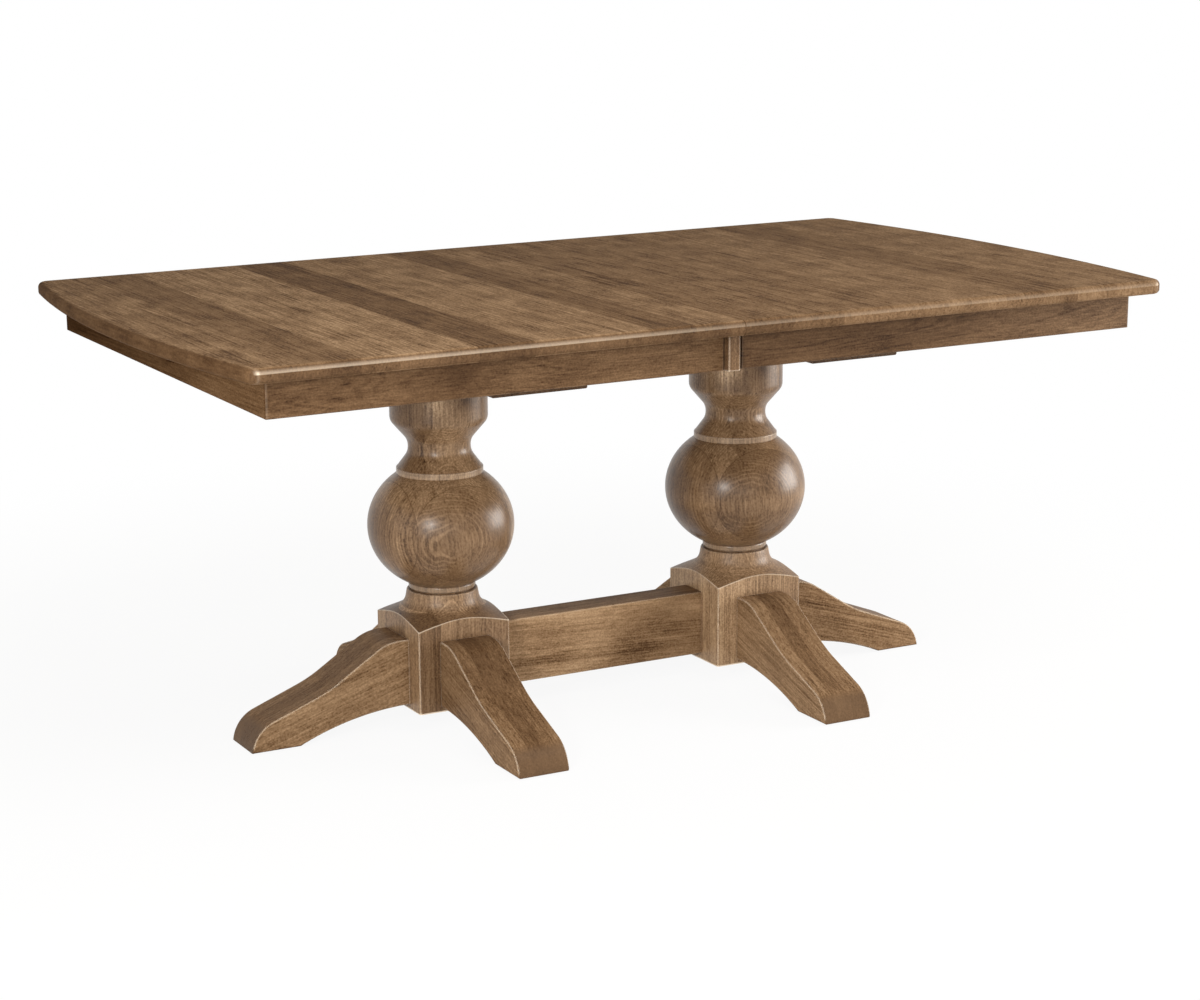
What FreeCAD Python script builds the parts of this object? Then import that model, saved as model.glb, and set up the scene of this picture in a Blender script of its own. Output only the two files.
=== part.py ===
import FreeCAD, Part
import math
import os

# Double pedestal dining table, in millimetres.
# X runs along the table, Y from front (minus) to back, Z up; the origin is on the floor
# under the middle of the top.

V = FreeCAD.Vector
UP = V(0, 0, 1)
DOWN = V(0, 0, -1)

# Whole table
TABLE_LENGTH = 1829.0
TABLE_WIDTH = 1067.0
TABLE_HEIGHT = 775.0
LEAF_TRAVEL = 304.8

# Top: two halves with bowed ends that meet at a seam in the middle
TOP_THICKNESS = 25.4
END_BOW = 46.0
TOP_CORNER_RADIUS = 22.0
TOP_EDGE_RADIUS = 10.0
TOP_UNDER_RADIUS = 8.0
SEAM_EASE = 0.8
PIN_RADIUS = 4.0
PIN_LENGTH = 40.0
PIN_REACH = 12.0
PIN_ROOM = 0.3
PIN_PLACE_SHARES = (-0.7, -0.25, 0.25, 0.7)

# Apron under each half
SIDE_OVERHANG = 43.8
END_OVERHANG = 84.7
APRON_HEIGHT = 63.2
APRON_THICKNESS = 21.0
APRON_EASE = 2.0
MITRE_EASE = 2.0

# Seam blocks: stand between the apron ends, proud of them, and lap under the right half
SEAM_BLOCK_WIDTH = 22.0
SEAM_BLOCK_LAP = 9.0
SEAM_BLOCK_PROUD = 13.0
SEAM_BLOCK_LENGTH = 62.0
SEAM_BLOCK_EASE = 1.2
SEAM_SCREW_SHARES = (0.45, 0.8)
LEFT_APRON_GAP = 3.0
RIGHT_APRON_GAP = 11.0
LAP_ROOM = 0.5

# Corner and glue blocks that hold the apron to the top
CORNER_BLOCK_LEG = 70.0
CORNER_BLOCK_HEIGHT = 50.0
CORNER_SCREW_SHARE = 0.32
GLUE_BLOCK_LENGTH = 60.0
GLUE_BLOCK_SIDE = 25.0
SIDE_GLUE_PLACE_SHARES = (0.14, 0.5, 0.8)
END_GLUE_PLACE_SHARES = (-0.76, 0.0, 0.76)

# Pedestals
PEDESTAL_SPACING = 617.0
BLOCK_SIZE = 180.0
BLOCK_BOTTOM = 37.5
BLOCK_CORNER_TOP = 189.5
BLOCK_EASE = 3.0

# Turned column above the block: radii, and levels as shares of the turned height
SHOULDER_RADIUS = 101.0
COVE_RADIUS = 69.0
LIP_RADIUS = 63.8
GROOVE_RADIUS = 57.5
BEAD_RADIUS = 60.5
BALL_RADIUS = 132.2
COLLAR_RADIUS = 78.0
FLARE_RADIUS = 76.5
NECK_RADIUS = 56.2
DRUM_RADIUS = 87.8
SHOULDER_SHARE = 0.0214
COVE_SHARE = 0.054
LIP_SHARE = 0.1133
GROOVE_SHARE = 0.1176
BEAD_SHARE = 0.142
BALL_SHARE = 0.3616
BALL_HALF_SHARE = 0.2485
COLLAR_LOW_SHARE = 0.5626
COLLAR_HIGH_SHARE = 0.5878
NECK_LOW_SHARE = 0.6456
NECK_HIGH_SHARE = 0.6916
DRUM_SHARE = 0.7689
SHOULDER_ROUND = 90.0
COVE_ROUND = 28.0
LIP_ROUND = 3.0
BEAD_ROUND = 3.5
COLLAR_ROUND = 1.5
NECK_ROUND = 27.0
DRUM_ROUND = 20.0

# Legs: three on each pedestal
LEG_REACH = 395.0
LEG_WIDTH = 97.5
LEG_TOP = 168.0
LEG_ARCH_RISE = 45.0
FOOT_LENGTH = 91.5
NOSE_HEIGHT = 39.0
NOSE_LEAN = 5.0
LEG_EASE = 3.0
SHOULDER_RUN_SHARE = 0.14
KNEE_RUN_SHARE = 0.515
KNEE_RISE_SHARE = 0.575
NOSE_ROUND_SHARE = 0.96
LEG_SHOULDER_ROUND = 85.0
LEG_KNEE_ROUND = 260.0
GLIDE_RADIUS = 13.0
GLIDE_HEIGHT = 2.0
GLIDE_NAIL_RADIUS = 1.5
GLIDE_NAIL_LENGTH = 16.0
GLIDE_PLACE_SHARE = 0.28

# Stretcher between the two pedestals
STRETCHER_THICKNESS = 61.0
STRETCHER_BOTTOM = 49.5
STRETCHER_HEIGHT = 121.0
STRETCHER_EASE = 3.0
POCKET_SETBACK = 40.0
POCKET_LENGTH = 36.0
POCKET_WIDTH = 32.0
BOLT_RADIUS = 4.0
BOLT_GRIP = 45.0
WASHER_RADIUS = 12.0
WASHER_THICKNESS = 2.0
NUT_RADIUS = 7.5
NUT_THICKNESS = 6.5
NUT_SIDES = 6

# Dowels in the leg and stretcher joints
DOWEL_RADIUS = 8.0
DOWEL_LENGTH = 76.0
LEG_DOWEL_SHARES = (0.25, 0.75)
STRETCHER_DOWEL_SHARES = (0.2, 0.8)

# Cross cleats on top of the columns
CLEAT_THICKNESS = 38.0
CLEAT_WIDTH = 177.0
CLEAT_SETBACK = 75.5
CLEAT_EASE = 3.0
LAG_RADIUS = 5.0
LAG_LENGTH = 95.0
LAG_HEAD_RADIUS = 9.0
LAG_HEAD_HEIGHT = 6.0
LAG_CIRCLE_SHARE = 0.6
LAG_COUNT = 4

# Slides: fixed runners on the cleats, moving runners under each half
SLIDE_SPACE = 50.0
SLIDE_INSET = 208.5
RUNNER_WIDTH = 32.0
RUNNER_ROOM = 3.0
RUNNER_SIDE_GAP = 1.0
RUNNER_END_GAP = 18.0
FIXED_RUNNER_SETBACK = 108.0
TONGUE_LEVEL_SHARE = 0.30
TONGUE_NECK = 12.0
TONGUE_TIP = 18.0
TONGUE_DEPTH = 10.0
TONGUE_ROOM = 0.3
RUNNER_SCREW_SHARES = (0.06, 0.35, 0.65, 0.92)
FIXED_SCREW_SHARE = 0.3

# Equalizer gears: a pinion in each fixed runner, a rack in each moving runner
PINION_TEETH = 20
PRESSURE_ANGLE = 20.0
FLANK_POINTS = 5
RACK_SINK = 1.0
RACK_BACK = 7.5
RACK_FACE = 10.0
PINION_FACE = 9.0
RACK_MARGIN = 20.0
GEAR_LEVEL_SHARE = 0.72
DEDENDUM_SHARE = 1.25
BACKLASH = 0.3
MORTISE_ROOM = 1.0
AXLE_RADIUS = 4.0
AXLE_LENGTH = 34.0
AXLE_ROOM = 0.08

# Table locks under the seam, shown open
LOCK_SETBACK = 51.0
LOCK_PIVOT_SETBACK = 40.0
LOCK_STUD_SETBACK = 18.0
LOCK_PLATE_LENGTH = 50.0
LOCK_PLATE_WIDTH = 30.0
LOCK_PLATE_THICKNESS = 2.5
KEEPER_THICKNESS = 2.0
KEEPER_LENGTH = 36.0
LOCK_STUD_RADIUS = 3.0
LOCK_STUD_ROOM = 0.5
LEVER_THICKNESS = 4.0
LEVER_WIDTH = 17.0
LEVER_END_RADIUS = 11.0
LEVER_TAB_DROP = 10.0
LEVER_TAB_LENGTH = 5.0
RIVET_RADIUS = 4.0
RIVET_HEAD_RADIUS = 7.5
RIVET_HEAD_HEIGHT = 2.0
LOCK_SWING = 90.0

# Wood screws
SCREW_RADIUS = 2.4
SCREW_HEAD_RADIUS = 4.6
SCREW_HEAD_HEIGHT = 3.2
SCREW_BITE = 16.0
CLEAT_SCREW_BITE = 26.0

# Fits and small working lengths
PEG_ROOM = 0.05
OVERRUN = 5.0
NEAR = 0.01

# Levels and half sizes that follow from the sizes above
top_under = TABLE_HEIGHT - TOP_THICKNESS
cleat_top = top_under - SLIDE_SPACE
column_top = cleat_top - CLEAT_THICKNESS
apron_bottom = top_under - APRON_HEIGHT
apron_x = TABLE_LENGTH / 2 - END_OVERHANG
apron_y = TABLE_WIDTH / 2 - SIDE_OVERHANG
apron_inner_x = apron_x - APRON_THICKNESS
apron_inner_y = apron_y - APRON_THICKNESS
left_apron_end = SEAM_BLOCK_LAP - SEAM_BLOCK_WIDTH - LEFT_APRON_GAP
right_apron_end = SEAM_BLOCK_LAP + RIGHT_APRON_GAP
pedestal_x = PEDESTAL_SPACING / 2
block_half = BLOCK_SIZE / 2
leg_under = GLIDE_HEIGHT + LEG_ARCH_RISE
stretcher_middle = STRETCHER_BOTTOM + STRETCHER_HEIGHT / 2
stretcher_end = pedestal_x - block_half
cleat_half_length = apron_inner_y - CLEAT_SETBACK
slide_y = apron_inner_y - SLIDE_INSET
runner_half = RUNNER_WIDTH / 2
runner_height = SLIDE_SPACE - RUNNER_ROOM
moving_bottom = cleat_top + RUNNER_ROOM
fixed_top = top_under - RUNNER_ROOM
moving_near = runner_half + RUNNER_SIDE_GAP
moving_far = moving_near + RUNNER_WIDTH
moving_middle = (moving_near + moving_far) / 2
moving_end = apron_inner_x - RUNNER_END_GAP
fixed_end = apron_inner_x - FIXED_RUNNER_SETBACK
tongue_level = moving_bottom + TONGUE_LEVEL_SHARE * runner_height
gear_level = moving_bottom + GEAR_LEVEL_SHARE * runner_height

# Gear sizes: the rack's tips lie just inside the moving runner's face
pitch_radius = (moving_near + RACK_SINK) / (1 - 2 / PINION_TEETH)
gear_module = 2 * pitch_radius / PINION_TEETH
tooth_pitch = math.pi * gear_module
pinion_tip = pitch_radius + gear_module
gear_root_depth = DEDENDUM_SHARE * gear_module
rack_back = pitch_radius + gear_root_depth + RACK_BACK
rack_start = -tooth_pitch * math.ceil(RACK_MARGIN / tooth_pitch)
rack_end = tooth_pitch * math.ceil((LEAF_TRAVEL + RACK_MARGIN) / tooth_pitch)
runner_lap = rack_end + RACK_MARGIN

# Lock places
lock_y = slide_y + moving_far + LOCK_SETBACK
lever_top = top_under - LOCK_PLATE_THICKNESS
lever_bottom = lever_top - LEVER_THICKNESS
lever_reach = LOCK_PIVOT_SETBACK + LOCK_STUD_SETBACK


def box(x0, x1, y0, y1, z0, z1):
    """Box between two corners, in whichever order the sides are given."""
    low = V(min(x0, x1), min(y0, y1), min(z0, z1))
    return Part.makeBox(abs(x1 - x0), abs(y1 - y0), abs(z1 - z0), low)


def mirrored(shape):
    """The same piece on the other side of the table's long middle plane."""
    return shape.mirror(V(0, 0, 0), V(0, 1, 0))


def turned_about(shape, spot, degrees):
    """A copy turned about the vertical line through a spot."""
    copy = shape.copy()
    copy.rotate(spot, UP, degrees)
    return copy


def edges_at(shape, x=None, y=None, z=None):
    """Edges that lie wholly in the given planes."""
    found = []
    for edge in shape.Edges:
        limits = edge.BoundBox
        spans = [(x, limits.XMin, limits.XMax), (y, limits.YMin, limits.YMax)]
        spans.append((z, limits.ZMin, limits.ZMax))
        wanted = [(plane, low, high) for plane, low, high in spans if plane is not None]
        if all(abs(low - plane) < NEAR and abs(high - plane) < NEAR for plane, low, high in wanted):
            found.append(edge)
    return found


def upright_edges(shape):
    """Edges that stand straight up."""
    return [e for e in shape.Edges if max(e.BoundBox.XLength, e.BoundBox.YLength) < NEAR]


def rounded_face(corners):
    """Flat face from (point, radius) corners, each rounded by its radius."""
    count = len(corners)
    turns = []
    for i, (corner, radius) in enumerate(corners):
        back = (corners[i - 1][0] - corner).normalize()
        ahead = (corners[(i + 1) % count][0] - corner).normalize()
        half = back.getAngle(ahead) / 2
        reach = radius / math.tan(half)
        inward = (back + ahead).normalize() * (radius / math.sin(half) - radius)
        turns.append((corner + back * reach, corner + inward, corner + ahead * reach))
    edges = []
    for i, (enter, middle, leave) in enumerate(turns):
        if corners[i][1]:
            edges.append(Part.Arc(enter, middle, leave).toShape())
        following = turns[(i + 1) % count][0]
        if leave.distanceToPoint(following) > NEAR:
            edges.append(Part.LineSegment(leave, following).toShape())
    return Part.Face(Part.Wire(edges))


def plan_prism(points, z0, z1):
    """Prism over a plan outline."""
    outline = [V(x, y, z0) for x, y in points]
    return Part.Face(Part.makePolygon(outline + outline[:1])).extrude(UP * (z1 - z0))


def screw(spot, along, length, room=0):
    """Countersunk wood screw with the face of its head at the spot, or its hole."""
    head = Part.makeCone(SCREW_HEAD_RADIUS + room, SCREW_RADIUS + room, SCREW_HEAD_HEIGHT, spot, along)
    return head.fuse(Part.makeCylinder(SCREW_RADIUS + room, length + room, spot, along))


def screw_holes(spots, along, length):
    return [screw(spot, along, length, PEG_ROOM) for spot in spots]


# Top


def whole_top():
    """Top before it is parted: straight sides, bowed ends, rounded corners and edges."""
    end = TABLE_LENGTH / 2
    side = TABLE_WIDTH / 2
    corner = end - END_BOW
    edges = []
    for way in (-1, 1):
        edges.append(Part.LineSegment(V(-way * corner, way * side, top_under),
                                      V(way * corner, way * side, top_under)).toShape())
        edges.append(Part.Arc(V(way * corner, way * side, top_under), V(way * end, 0, top_under),
                              V(way * corner, -way * side, top_under)).toShape())
    blank = Part.Face(Part.Wire(Part.__sortEdges__(edges))).extrude(UP * TOP_THICKNESS)
    blank = blank.makeFillet(TOP_CORNER_RADIUS, upright_edges(blank))
    blank = blank.makeFillet(TOP_EDGE_RADIUS, edges_at(blank, z=TABLE_HEIGHT))
    return blank.makeFillet(TOP_UNDER_RADIUS, edges_at(blank, z=top_under))


def pin_spots():
    """Alignment pins start inside the left half and reach past the seam."""
    level = (TABLE_HEIGHT + top_under) / 2
    return [V(PIN_REACH - PIN_LENGTH, share * TABLE_WIDTH / 2, level) for share in PIN_PLACE_SHARES]


def alignment_pins():
    pins = [Part.makeCylinder(PIN_RADIUS, PIN_LENGTH, spot, V(1, 0, 0)) for spot in pin_spots()]
    return Part.makeCompound(pins)


def top_half(whole, side, room, holes):
    """One half of the top, with its seam edges eased and its pin and screw holes bored."""
    reach = side * TABLE_LENGTH
    half = whole.common(box(0, reach, -TABLE_WIDTH, TABLE_WIDTH, 0, TABLE_HEIGHT + OVERRUN)).Solids[0]
    half = half.makeChamfer(SEAM_EASE, edges_at(half, x=0, z=TABLE_HEIGHT))
    bores = [Part.makeCylinder(PIN_RADIUS + room, PIN_LENGTH + 2 * room, spot - V(room, 0, 0), V(1, 0, 0))
             for spot in pin_spots()]
    return half.cut(bores + holes).Solids[0]


# Apron and its blocks


def side_apron(side):
    """Front apron of one half, mitred at the table's end and square at the seam."""
    seam = left_apron_end if side < 0 else right_apron_end
    outer, inner = side * apron_x, side * apron_inner_x
    ease = side * MITRE_EASE
    points = [(seam, -apron_y), (outer - ease, -apron_y), (outer - ease / 2, -apron_y + MITRE_EASE / 2),
              (inner, -apron_inner_y), (seam, -apron_inner_y)]
    apron = plan_prism(points, apron_bottom, top_under)
    return apron.makeFillet(APRON_EASE, edges_at(apron, y=-apron_y, z=apron_bottom))


def end_apron(side):
    """Apron across one end, mitred at both corners."""
    outer, inner = side * apron_x, side * apron_inner_x
    eased = outer - side * MITRE_EASE / 2
    points = [(inner, -apron_inner_y), (eased, -apron_y + MITRE_EASE / 2), (outer, -apron_y + MITRE_EASE),
              (outer, apron_y - MITRE_EASE), (eased, apron_y - MITRE_EASE / 2), (inner, apron_inner_y)]
    apron = plan_prism(points, apron_bottom, top_under)
    return apron.makeFillet(APRON_EASE, edges_at(apron, x=outer, z=apron_bottom))


def seam_block_spots():
    """Screws that hold the front seam block up to the left half."""
    x = (SEAM_BLOCK_LAP - SEAM_BLOCK_WIDTH) / 2
    outer = -apron_y - SEAM_BLOCK_PROUD
    return [V(x, outer + SEAM_BLOCK_LENGTH * share, apron_bottom) for share in SEAM_SCREW_SHARES]


def seam_block():
    """Front seam block, eased all round, with room under the right half."""
    start = SEAM_BLOCK_LAP - SEAM_BLOCK_WIDTH
    outer = -apron_y - SEAM_BLOCK_PROUD
    block = box(start, SEAM_BLOCK_LAP, outer, outer + SEAM_BLOCK_LENGTH, apron_bottom, top_under)
    sharp = edges_at(block, y=outer) + edges_at(block, z=apron_bottom)
    edges = {edge.hashCode(): edge for edge in sharp}
    block = block.makeChamfer(SEAM_BLOCK_EASE, list(edges.values()))
    lap = box(0, SEAM_BLOCK_LAP + OVERRUN, outer - OVERRUN, 0, top_under - LAP_ROOM, top_under + OVERRUN)
    holes = screw_holes(seam_block_spots(), UP, APRON_HEIGHT + SCREW_BITE)
    return block.cut([lap] + holes).Solids[0]


def corner_block(side):
    """Three-cornered block in the front corner of one half's apron."""
    x, y = side * apron_inner_x, -apron_inner_y
    points = [(x, y), (x - side * CORNER_BLOCK_LEG, y), (x, y + CORNER_BLOCK_LEG)]
    block = plan_prism(points, top_under - CORNER_BLOCK_HEIGHT, top_under)
    holes = screw_holes([corner_screw_spot(side)], UP, CORNER_BLOCK_HEIGHT + SCREW_BITE)
    return block.cut(holes).Solids[0]


def corner_screw_spot(side):
    inset = CORNER_SCREW_SHARE * CORNER_BLOCK_LEG
    return V(side * (apron_inner_x - inset), -apron_inner_y + inset, top_under - CORNER_BLOCK_HEIGHT)


def glue_block_places(side):
    """Middle of each glue block in plan, with the way it lies, along X or along Y."""
    seam = left_apron_end if side < 0 else right_apron_end
    span = side * apron_inner_x - seam
    inset = GLUE_BLOCK_SIDE / 2
    places = []
    for way in (-1, 1):
        for share in SIDE_GLUE_PLACE_SHARES:
            places.append((seam + share * span, way * (apron_inner_y - inset), True))
    for share in END_GLUE_PLACE_SHARES:
        places.append((side * (apron_inner_x - inset), share * apron_inner_y, False))
    return places


def glue_screw_spots(side):
    return [V(x, y, top_under - GLUE_BLOCK_SIDE) for x, y, along in glue_block_places(side)]


def glue_blocks(side):
    """Square blocks along the inside of one half's apron, each screwed up to the top."""
    blocks = []
    for x, y, along in glue_block_places(side):
        half_x = (GLUE_BLOCK_LENGTH if along else GLUE_BLOCK_SIDE) / 2
        half_y = (GLUE_BLOCK_SIDE if along else GLUE_BLOCK_LENGTH) / 2
        bottom = top_under - GLUE_BLOCK_SIDE
        block = box(x - half_x, x + half_x, y - half_y, y + half_y, bottom, top_under)
        hole = screw(V(x, y, bottom), UP, GLUE_BLOCK_SIDE + SCREW_BITE, PEG_ROOM)
        blocks.append(block.cut(hole).Solids[0])
    return Part.makeCompound(blocks)


def block_screws(side):
    """Screws through the corner, glue and seam blocks of one half."""
    found = [screw(spot, UP, GLUE_BLOCK_SIDE + SCREW_BITE) for spot in glue_screw_spots(side)]
    corner = screw(corner_screw_spot(side), UP, CORNER_BLOCK_HEIGHT + SCREW_BITE)
    found += [corner, mirrored(corner)]
    if side < 0:
        seam = [screw(spot, UP, APRON_HEIGHT + SCREW_BITE) for spot in seam_block_spots()]
        found += seam + [mirrored(one) for one in seam]
    return found


# Pedestals


def turn_level(share):
    return BLOCK_CORNER_TOP + share * (column_top - BLOCK_CORNER_TOP)


def turned_solid(outline):
    """Solid turned about the Z axis from (radius, level, rounding) corners."""
    face = rounded_face([(V(radius, 0, level), rounding) for radius, level, rounding in outline])
    return face.revolve(V(0, 0, 0), UP, 360)


def column_foot():
    """Square block whose top is turned down to a cove, a lip and a bead."""
    corner = block_half * math.sqrt(2)
    outline = [(0, BLOCK_BOTTOM, 0), (corner, BLOCK_BOTTOM, 0), (corner, BLOCK_CORNER_TOP, 0),
               (SHOULDER_RADIUS, turn_level(SHOULDER_SHARE), SHOULDER_ROUND),
               (COVE_RADIUS, turn_level(COVE_SHARE), COVE_ROUND),
               (LIP_RADIUS, turn_level(LIP_SHARE), LIP_ROUND),
               (GROOVE_RADIUS, turn_level(LIP_SHARE), 0),
               (GROOVE_RADIUS, turn_level(GROOVE_SHARE), 0),
               (BEAD_RADIUS, turn_level(GROOVE_SHARE), BEAD_ROUND),
               (BEAD_RADIUS, turn_level(BEAD_SHARE), BEAD_ROUND),
               (0, turn_level(BEAD_SHARE), 0)]
    square = box(-block_half, block_half, -block_half, block_half, BLOCK_BOTTOM, turn_level(BEAD_SHARE))
    return turned_solid(outline).common(square.makeFillet(BLOCK_EASE, upright_edges(square)))


def column_ball():
    """Flattened or drawn-out ball, turned from half an ellipse."""
    centre = V(0, 0, turn_level(BALL_SHARE))
    half = BALL_HALF_SHARE * (column_top - BLOCK_CORNER_TOP)
    side = centre + V(BALL_RADIUS, 0, 0)
    top = centre + UP * half
    quarter = math.pi / 2
    if half < BALL_RADIUS:
        outer = Part.ArcOfEllipse(Part.Ellipse(side, top, centre), -quarter, quarter).toShape()
    else:
        outer = Part.ArcOfEllipse(Part.Ellipse(top, side, centre), 0, 2 * quarter).toShape()
    axis = Part.LineSegment(outer.Vertexes[-1].Point, outer.Vertexes[0].Point).toShape()
    return Part.Face(Part.Wire([outer, axis])).revolve(V(0, 0, 0), UP, 360)


def column_neck():
    """Collar, waisted neck and plain drum above the ball."""
    outline = [(0, turn_level(COLLAR_LOW_SHARE), 0),
               (COLLAR_RADIUS, turn_level(COLLAR_LOW_SHARE), COLLAR_ROUND),
               (COLLAR_RADIUS, turn_level(COLLAR_HIGH_SHARE), COLLAR_ROUND),
               (FLARE_RADIUS, turn_level(COLLAR_HIGH_SHARE), 0),
               (NECK_RADIUS, turn_level(NECK_LOW_SHARE), NECK_ROUND),
               (NECK_RADIUS, turn_level(NECK_HIGH_SHARE), NECK_ROUND),
               (DRUM_RADIUS, turn_level(DRUM_SHARE), DRUM_ROUND),
               (DRUM_RADIUS, column_top, 0), (0, column_top, 0)]
    return turned_solid(outline)


def leg_headings(side):
    """Directions of a pedestal's three legs, as turns from +X: end, front, back."""
    return {"end": 0 if side > 0 else 180, "front": 270, "back": 90}


def leg_dowel_spots():
    rise = LEG_TOP - leg_under
    return [V(block_half - DOWEL_LENGTH / 2, 0, leg_under + share * rise) for share in LEG_DOWEL_SHARES]


def stretcher_dowel_spots():
    return [V(block_half - DOWEL_LENGTH / 2, 0, STRETCHER_BOTTOM + share * STRETCHER_HEIGHT)
            for share in STRETCHER_DOWEL_SHARES]


def dowels(spots, room=0):
    """Dowels that lie along +X, half in each of two pieces, or their holes."""
    length = DOWEL_LENGTH + 2 * room
    back = V(room, 0, 0)
    return [Part.makeCylinder(DOWEL_RADIUS + room, length, spot - back, V(1, 0, 0)) for spot in spots]


def bolt(room=0):
    """Stretcher bolt along +X, from inside the block to inside the stretcher's pocket, or its hole."""
    length = BOLT_GRIP + POCKET_SETBACK + WASHER_THICKNESS + 2 * NUT_THICKNESS
    spot = V(block_half - BOLT_GRIP - room, 0, stretcher_middle)
    return Part.makeCylinder(BOLT_RADIUS + room, length + 2 * room, spot, V(1, 0, 0))


def lag_spots():
    circle = LAG_CIRCLE_SHARE * DRUM_RADIUS
    turns = [2 * math.pi * i / LAG_COUNT for i in range(LAG_COUNT)]
    return [V(circle * math.cos(turn), circle * math.sin(turn), cleat_top) for turn in turns]


def lag_screw(spot, room=0):
    """Lag screw set down through the cleat into the column, or its hole."""
    head = Part.makeCylinder(LAG_HEAD_RADIUS + room, LAG_HEAD_HEIGHT, spot, DOWN)
    return head.fuse(Part.makeCylinder(LAG_RADIUS + room, LAG_LENGTH + room, spot, DOWN))


def column(side):
    """Pedestal column at the origin, bored for its dowels, bolt and lag screws."""
    blank = column_foot().fuse([column_ball(), column_neck()]).removeSplitter().Solids[0]
    holes = [lag_screw(spot, PEG_ROOM) for spot in lag_spots()]
    for heading in leg_headings(side).values():
        holes += [turned_about(hole, V(0, 0, 0), heading) for hole in dowels(leg_dowel_spots(), PEG_ROOM)]
    inward = 180 if side > 0 else 0
    joint = dowels(stretcher_dowel_spots(), PEG_ROOM) + [bolt(PEG_ROOM)]
    holes += [turned_about(hole, V(0, 0, 0), inward) for hole in joint]
    return blank.cut(holes).Solids[0]


def glide_spots():
    middle = LEG_REACH - FOOT_LENGTH / 2
    return [V(middle, way * GLIDE_PLACE_SHARE * LEG_WIDTH, 0) for way in (-1, 1)]


def glides():
    """Nail-on glides under one foot of a leg that points along +X."""
    found = []
    for spot in glide_spots():
        nail = Part.makeCylinder(GLIDE_NAIL_RADIUS, GLIDE_NAIL_LENGTH, spot, UP)
        found.append(Part.makeCylinder(GLIDE_RADIUS, GLIDE_HEIGHT, spot, UP).fuse(nail))
    return found


def leg():
    """Leg that points along +X from the column's axis: cyma top, round nose, arched underside."""
    run = LEG_REACH - block_half
    drop = LEG_TOP - GLIDE_HEIGHT - NOSE_HEIGHT
    toe = V(LEG_REACH, 0, GLIDE_HEIGHT)
    nose = toe + V(-NOSE_LEAN, 0, NOSE_HEIGHT)
    knee = V(block_half + KNEE_RUN_SHARE * run, 0, LEG_TOP - KNEE_RISE_SHARE * drop)
    shoulder = V(block_half + SHOULDER_RUN_SHARE * run, 0, LEG_TOP)
    half_turn = (toe - nose).getAngle(knee - nose) / 2
    nose_round = NOSE_ROUND_SHARE * (toe - nose).Length * math.tan(half_turn)
    corners = [(V(block_half, 0, GLIDE_HEIGHT), 0), (toe, 0), (nose, nose_round), (knee, LEG_KNEE_ROUND),
               (shoulder, LEG_SHOULDER_ROUND), (V(block_half, 0, LEG_TOP), 0)]
    blank = rounded_face(corners).extrude(V(0, LEG_WIDTH, 0))
    blank.translate(V(0, -LEG_WIDTH / 2, 0))
    arch_run = run - FOOT_LENGTH
    arch = (arch_run ** 2 + LEG_ARCH_RISE ** 2) / (2 * LEG_ARCH_RISE)
    centre = V(block_half, -LEG_WIDTH, leg_under - arch)
    blank = blank.cut(Part.makeCylinder(arch, 2 * LEG_WIDTH, centre, V(0, 1, 0))).Solids[0]
    cheeks = edges_at(blank, y=-LEG_WIDTH / 2) + edges_at(blank, y=LEG_WIDTH / 2)
    arrises = [e for e in cheeks if e.BoundBox.XLength > NEAR]
    blank = blank.makeFillet(LEG_EASE, arrises)
    nails = [Part.makeCylinder(GLIDE_NAIL_RADIUS + PEG_ROOM, GLIDE_NAIL_LENGTH + PEG_ROOM, spot, UP)
             for spot in glide_spots()]
    return blank.cut(dowels(leg_dowel_spots(), PEG_ROOM) + nails).Solids[0]


def stretcher():
    """Rail between the pedestals, with a bolt pocket in its underside at each end."""
    rail = box(-stretcher_end, stretcher_end, -STRETCHER_THICKNESS / 2, STRETCHER_THICKNESS / 2,
               STRETCHER_BOTTOM, STRETCHER_BOTTOM + STRETCHER_HEIGHT)
    long_edges = [e for e in rail.Edges if e.BoundBox.XLength > stretcher_end]
    rail = rail.makeFillet(STRETCHER_EASE, long_edges)
    wall = -stretcher_end + POCKET_SETBACK
    pocket = box(wall, wall + POCKET_LENGTH, -POCKET_WIDTH / 2, POCKET_WIDTH / 2,
                 STRETCHER_BOTTOM - OVERRUN, stretcher_middle + POCKET_WIDTH / 2)
    holes = [pocket]
    for hole in dowels(stretcher_dowel_spots(), PEG_ROOM) + [bolt(PEG_ROOM)]:
        hole.translate(V(-pedestal_x, 0, 0))
        holes.append(hole)
    holes += [turned_about(hole, V(0, 0, 0), 180) for hole in holes]
    return rail.cut(holes).Solids[0]


def stretcher_nut():
    """Hexagon nut on the bolt, against the washer."""
    start = block_half + POCKET_SETBACK + WASHER_THICKNESS
    outline = []
    for i in range(NUT_SIDES):
        turn = 2 * math.pi * i / NUT_SIDES
        outline.append(V(start, NUT_RADIUS * math.cos(turn), stretcher_middle + NUT_RADIUS * math.sin(turn)))
    nut = Part.Face(Part.makePolygon(outline + outline[:1])).extrude(V(NUT_THICKNESS, 0, 0))
    return nut.cut(bolt(PEG_ROOM)).Solids[0]


def stretcher_washer():
    spot = V(block_half + POCKET_SETBACK, 0, stretcher_middle)
    disc = Part.makeCylinder(WASHER_RADIUS, WASHER_THICKNESS, spot, V(1, 0, 0))
    return disc.cut(bolt(PEG_ROOM)).Solids[0]


def both_ends(pieces):
    """Pieces of the left pedestal's stretcher joint, and the same turned round for the right one."""
    found = []
    for piece in pieces:
        piece.translate(V(-pedestal_x, 0, 0))
        found += [piece, turned_about(piece, V(0, 0, 0), 180)]
    return Part.makeCompound(found)


# Cleats and slides


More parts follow.
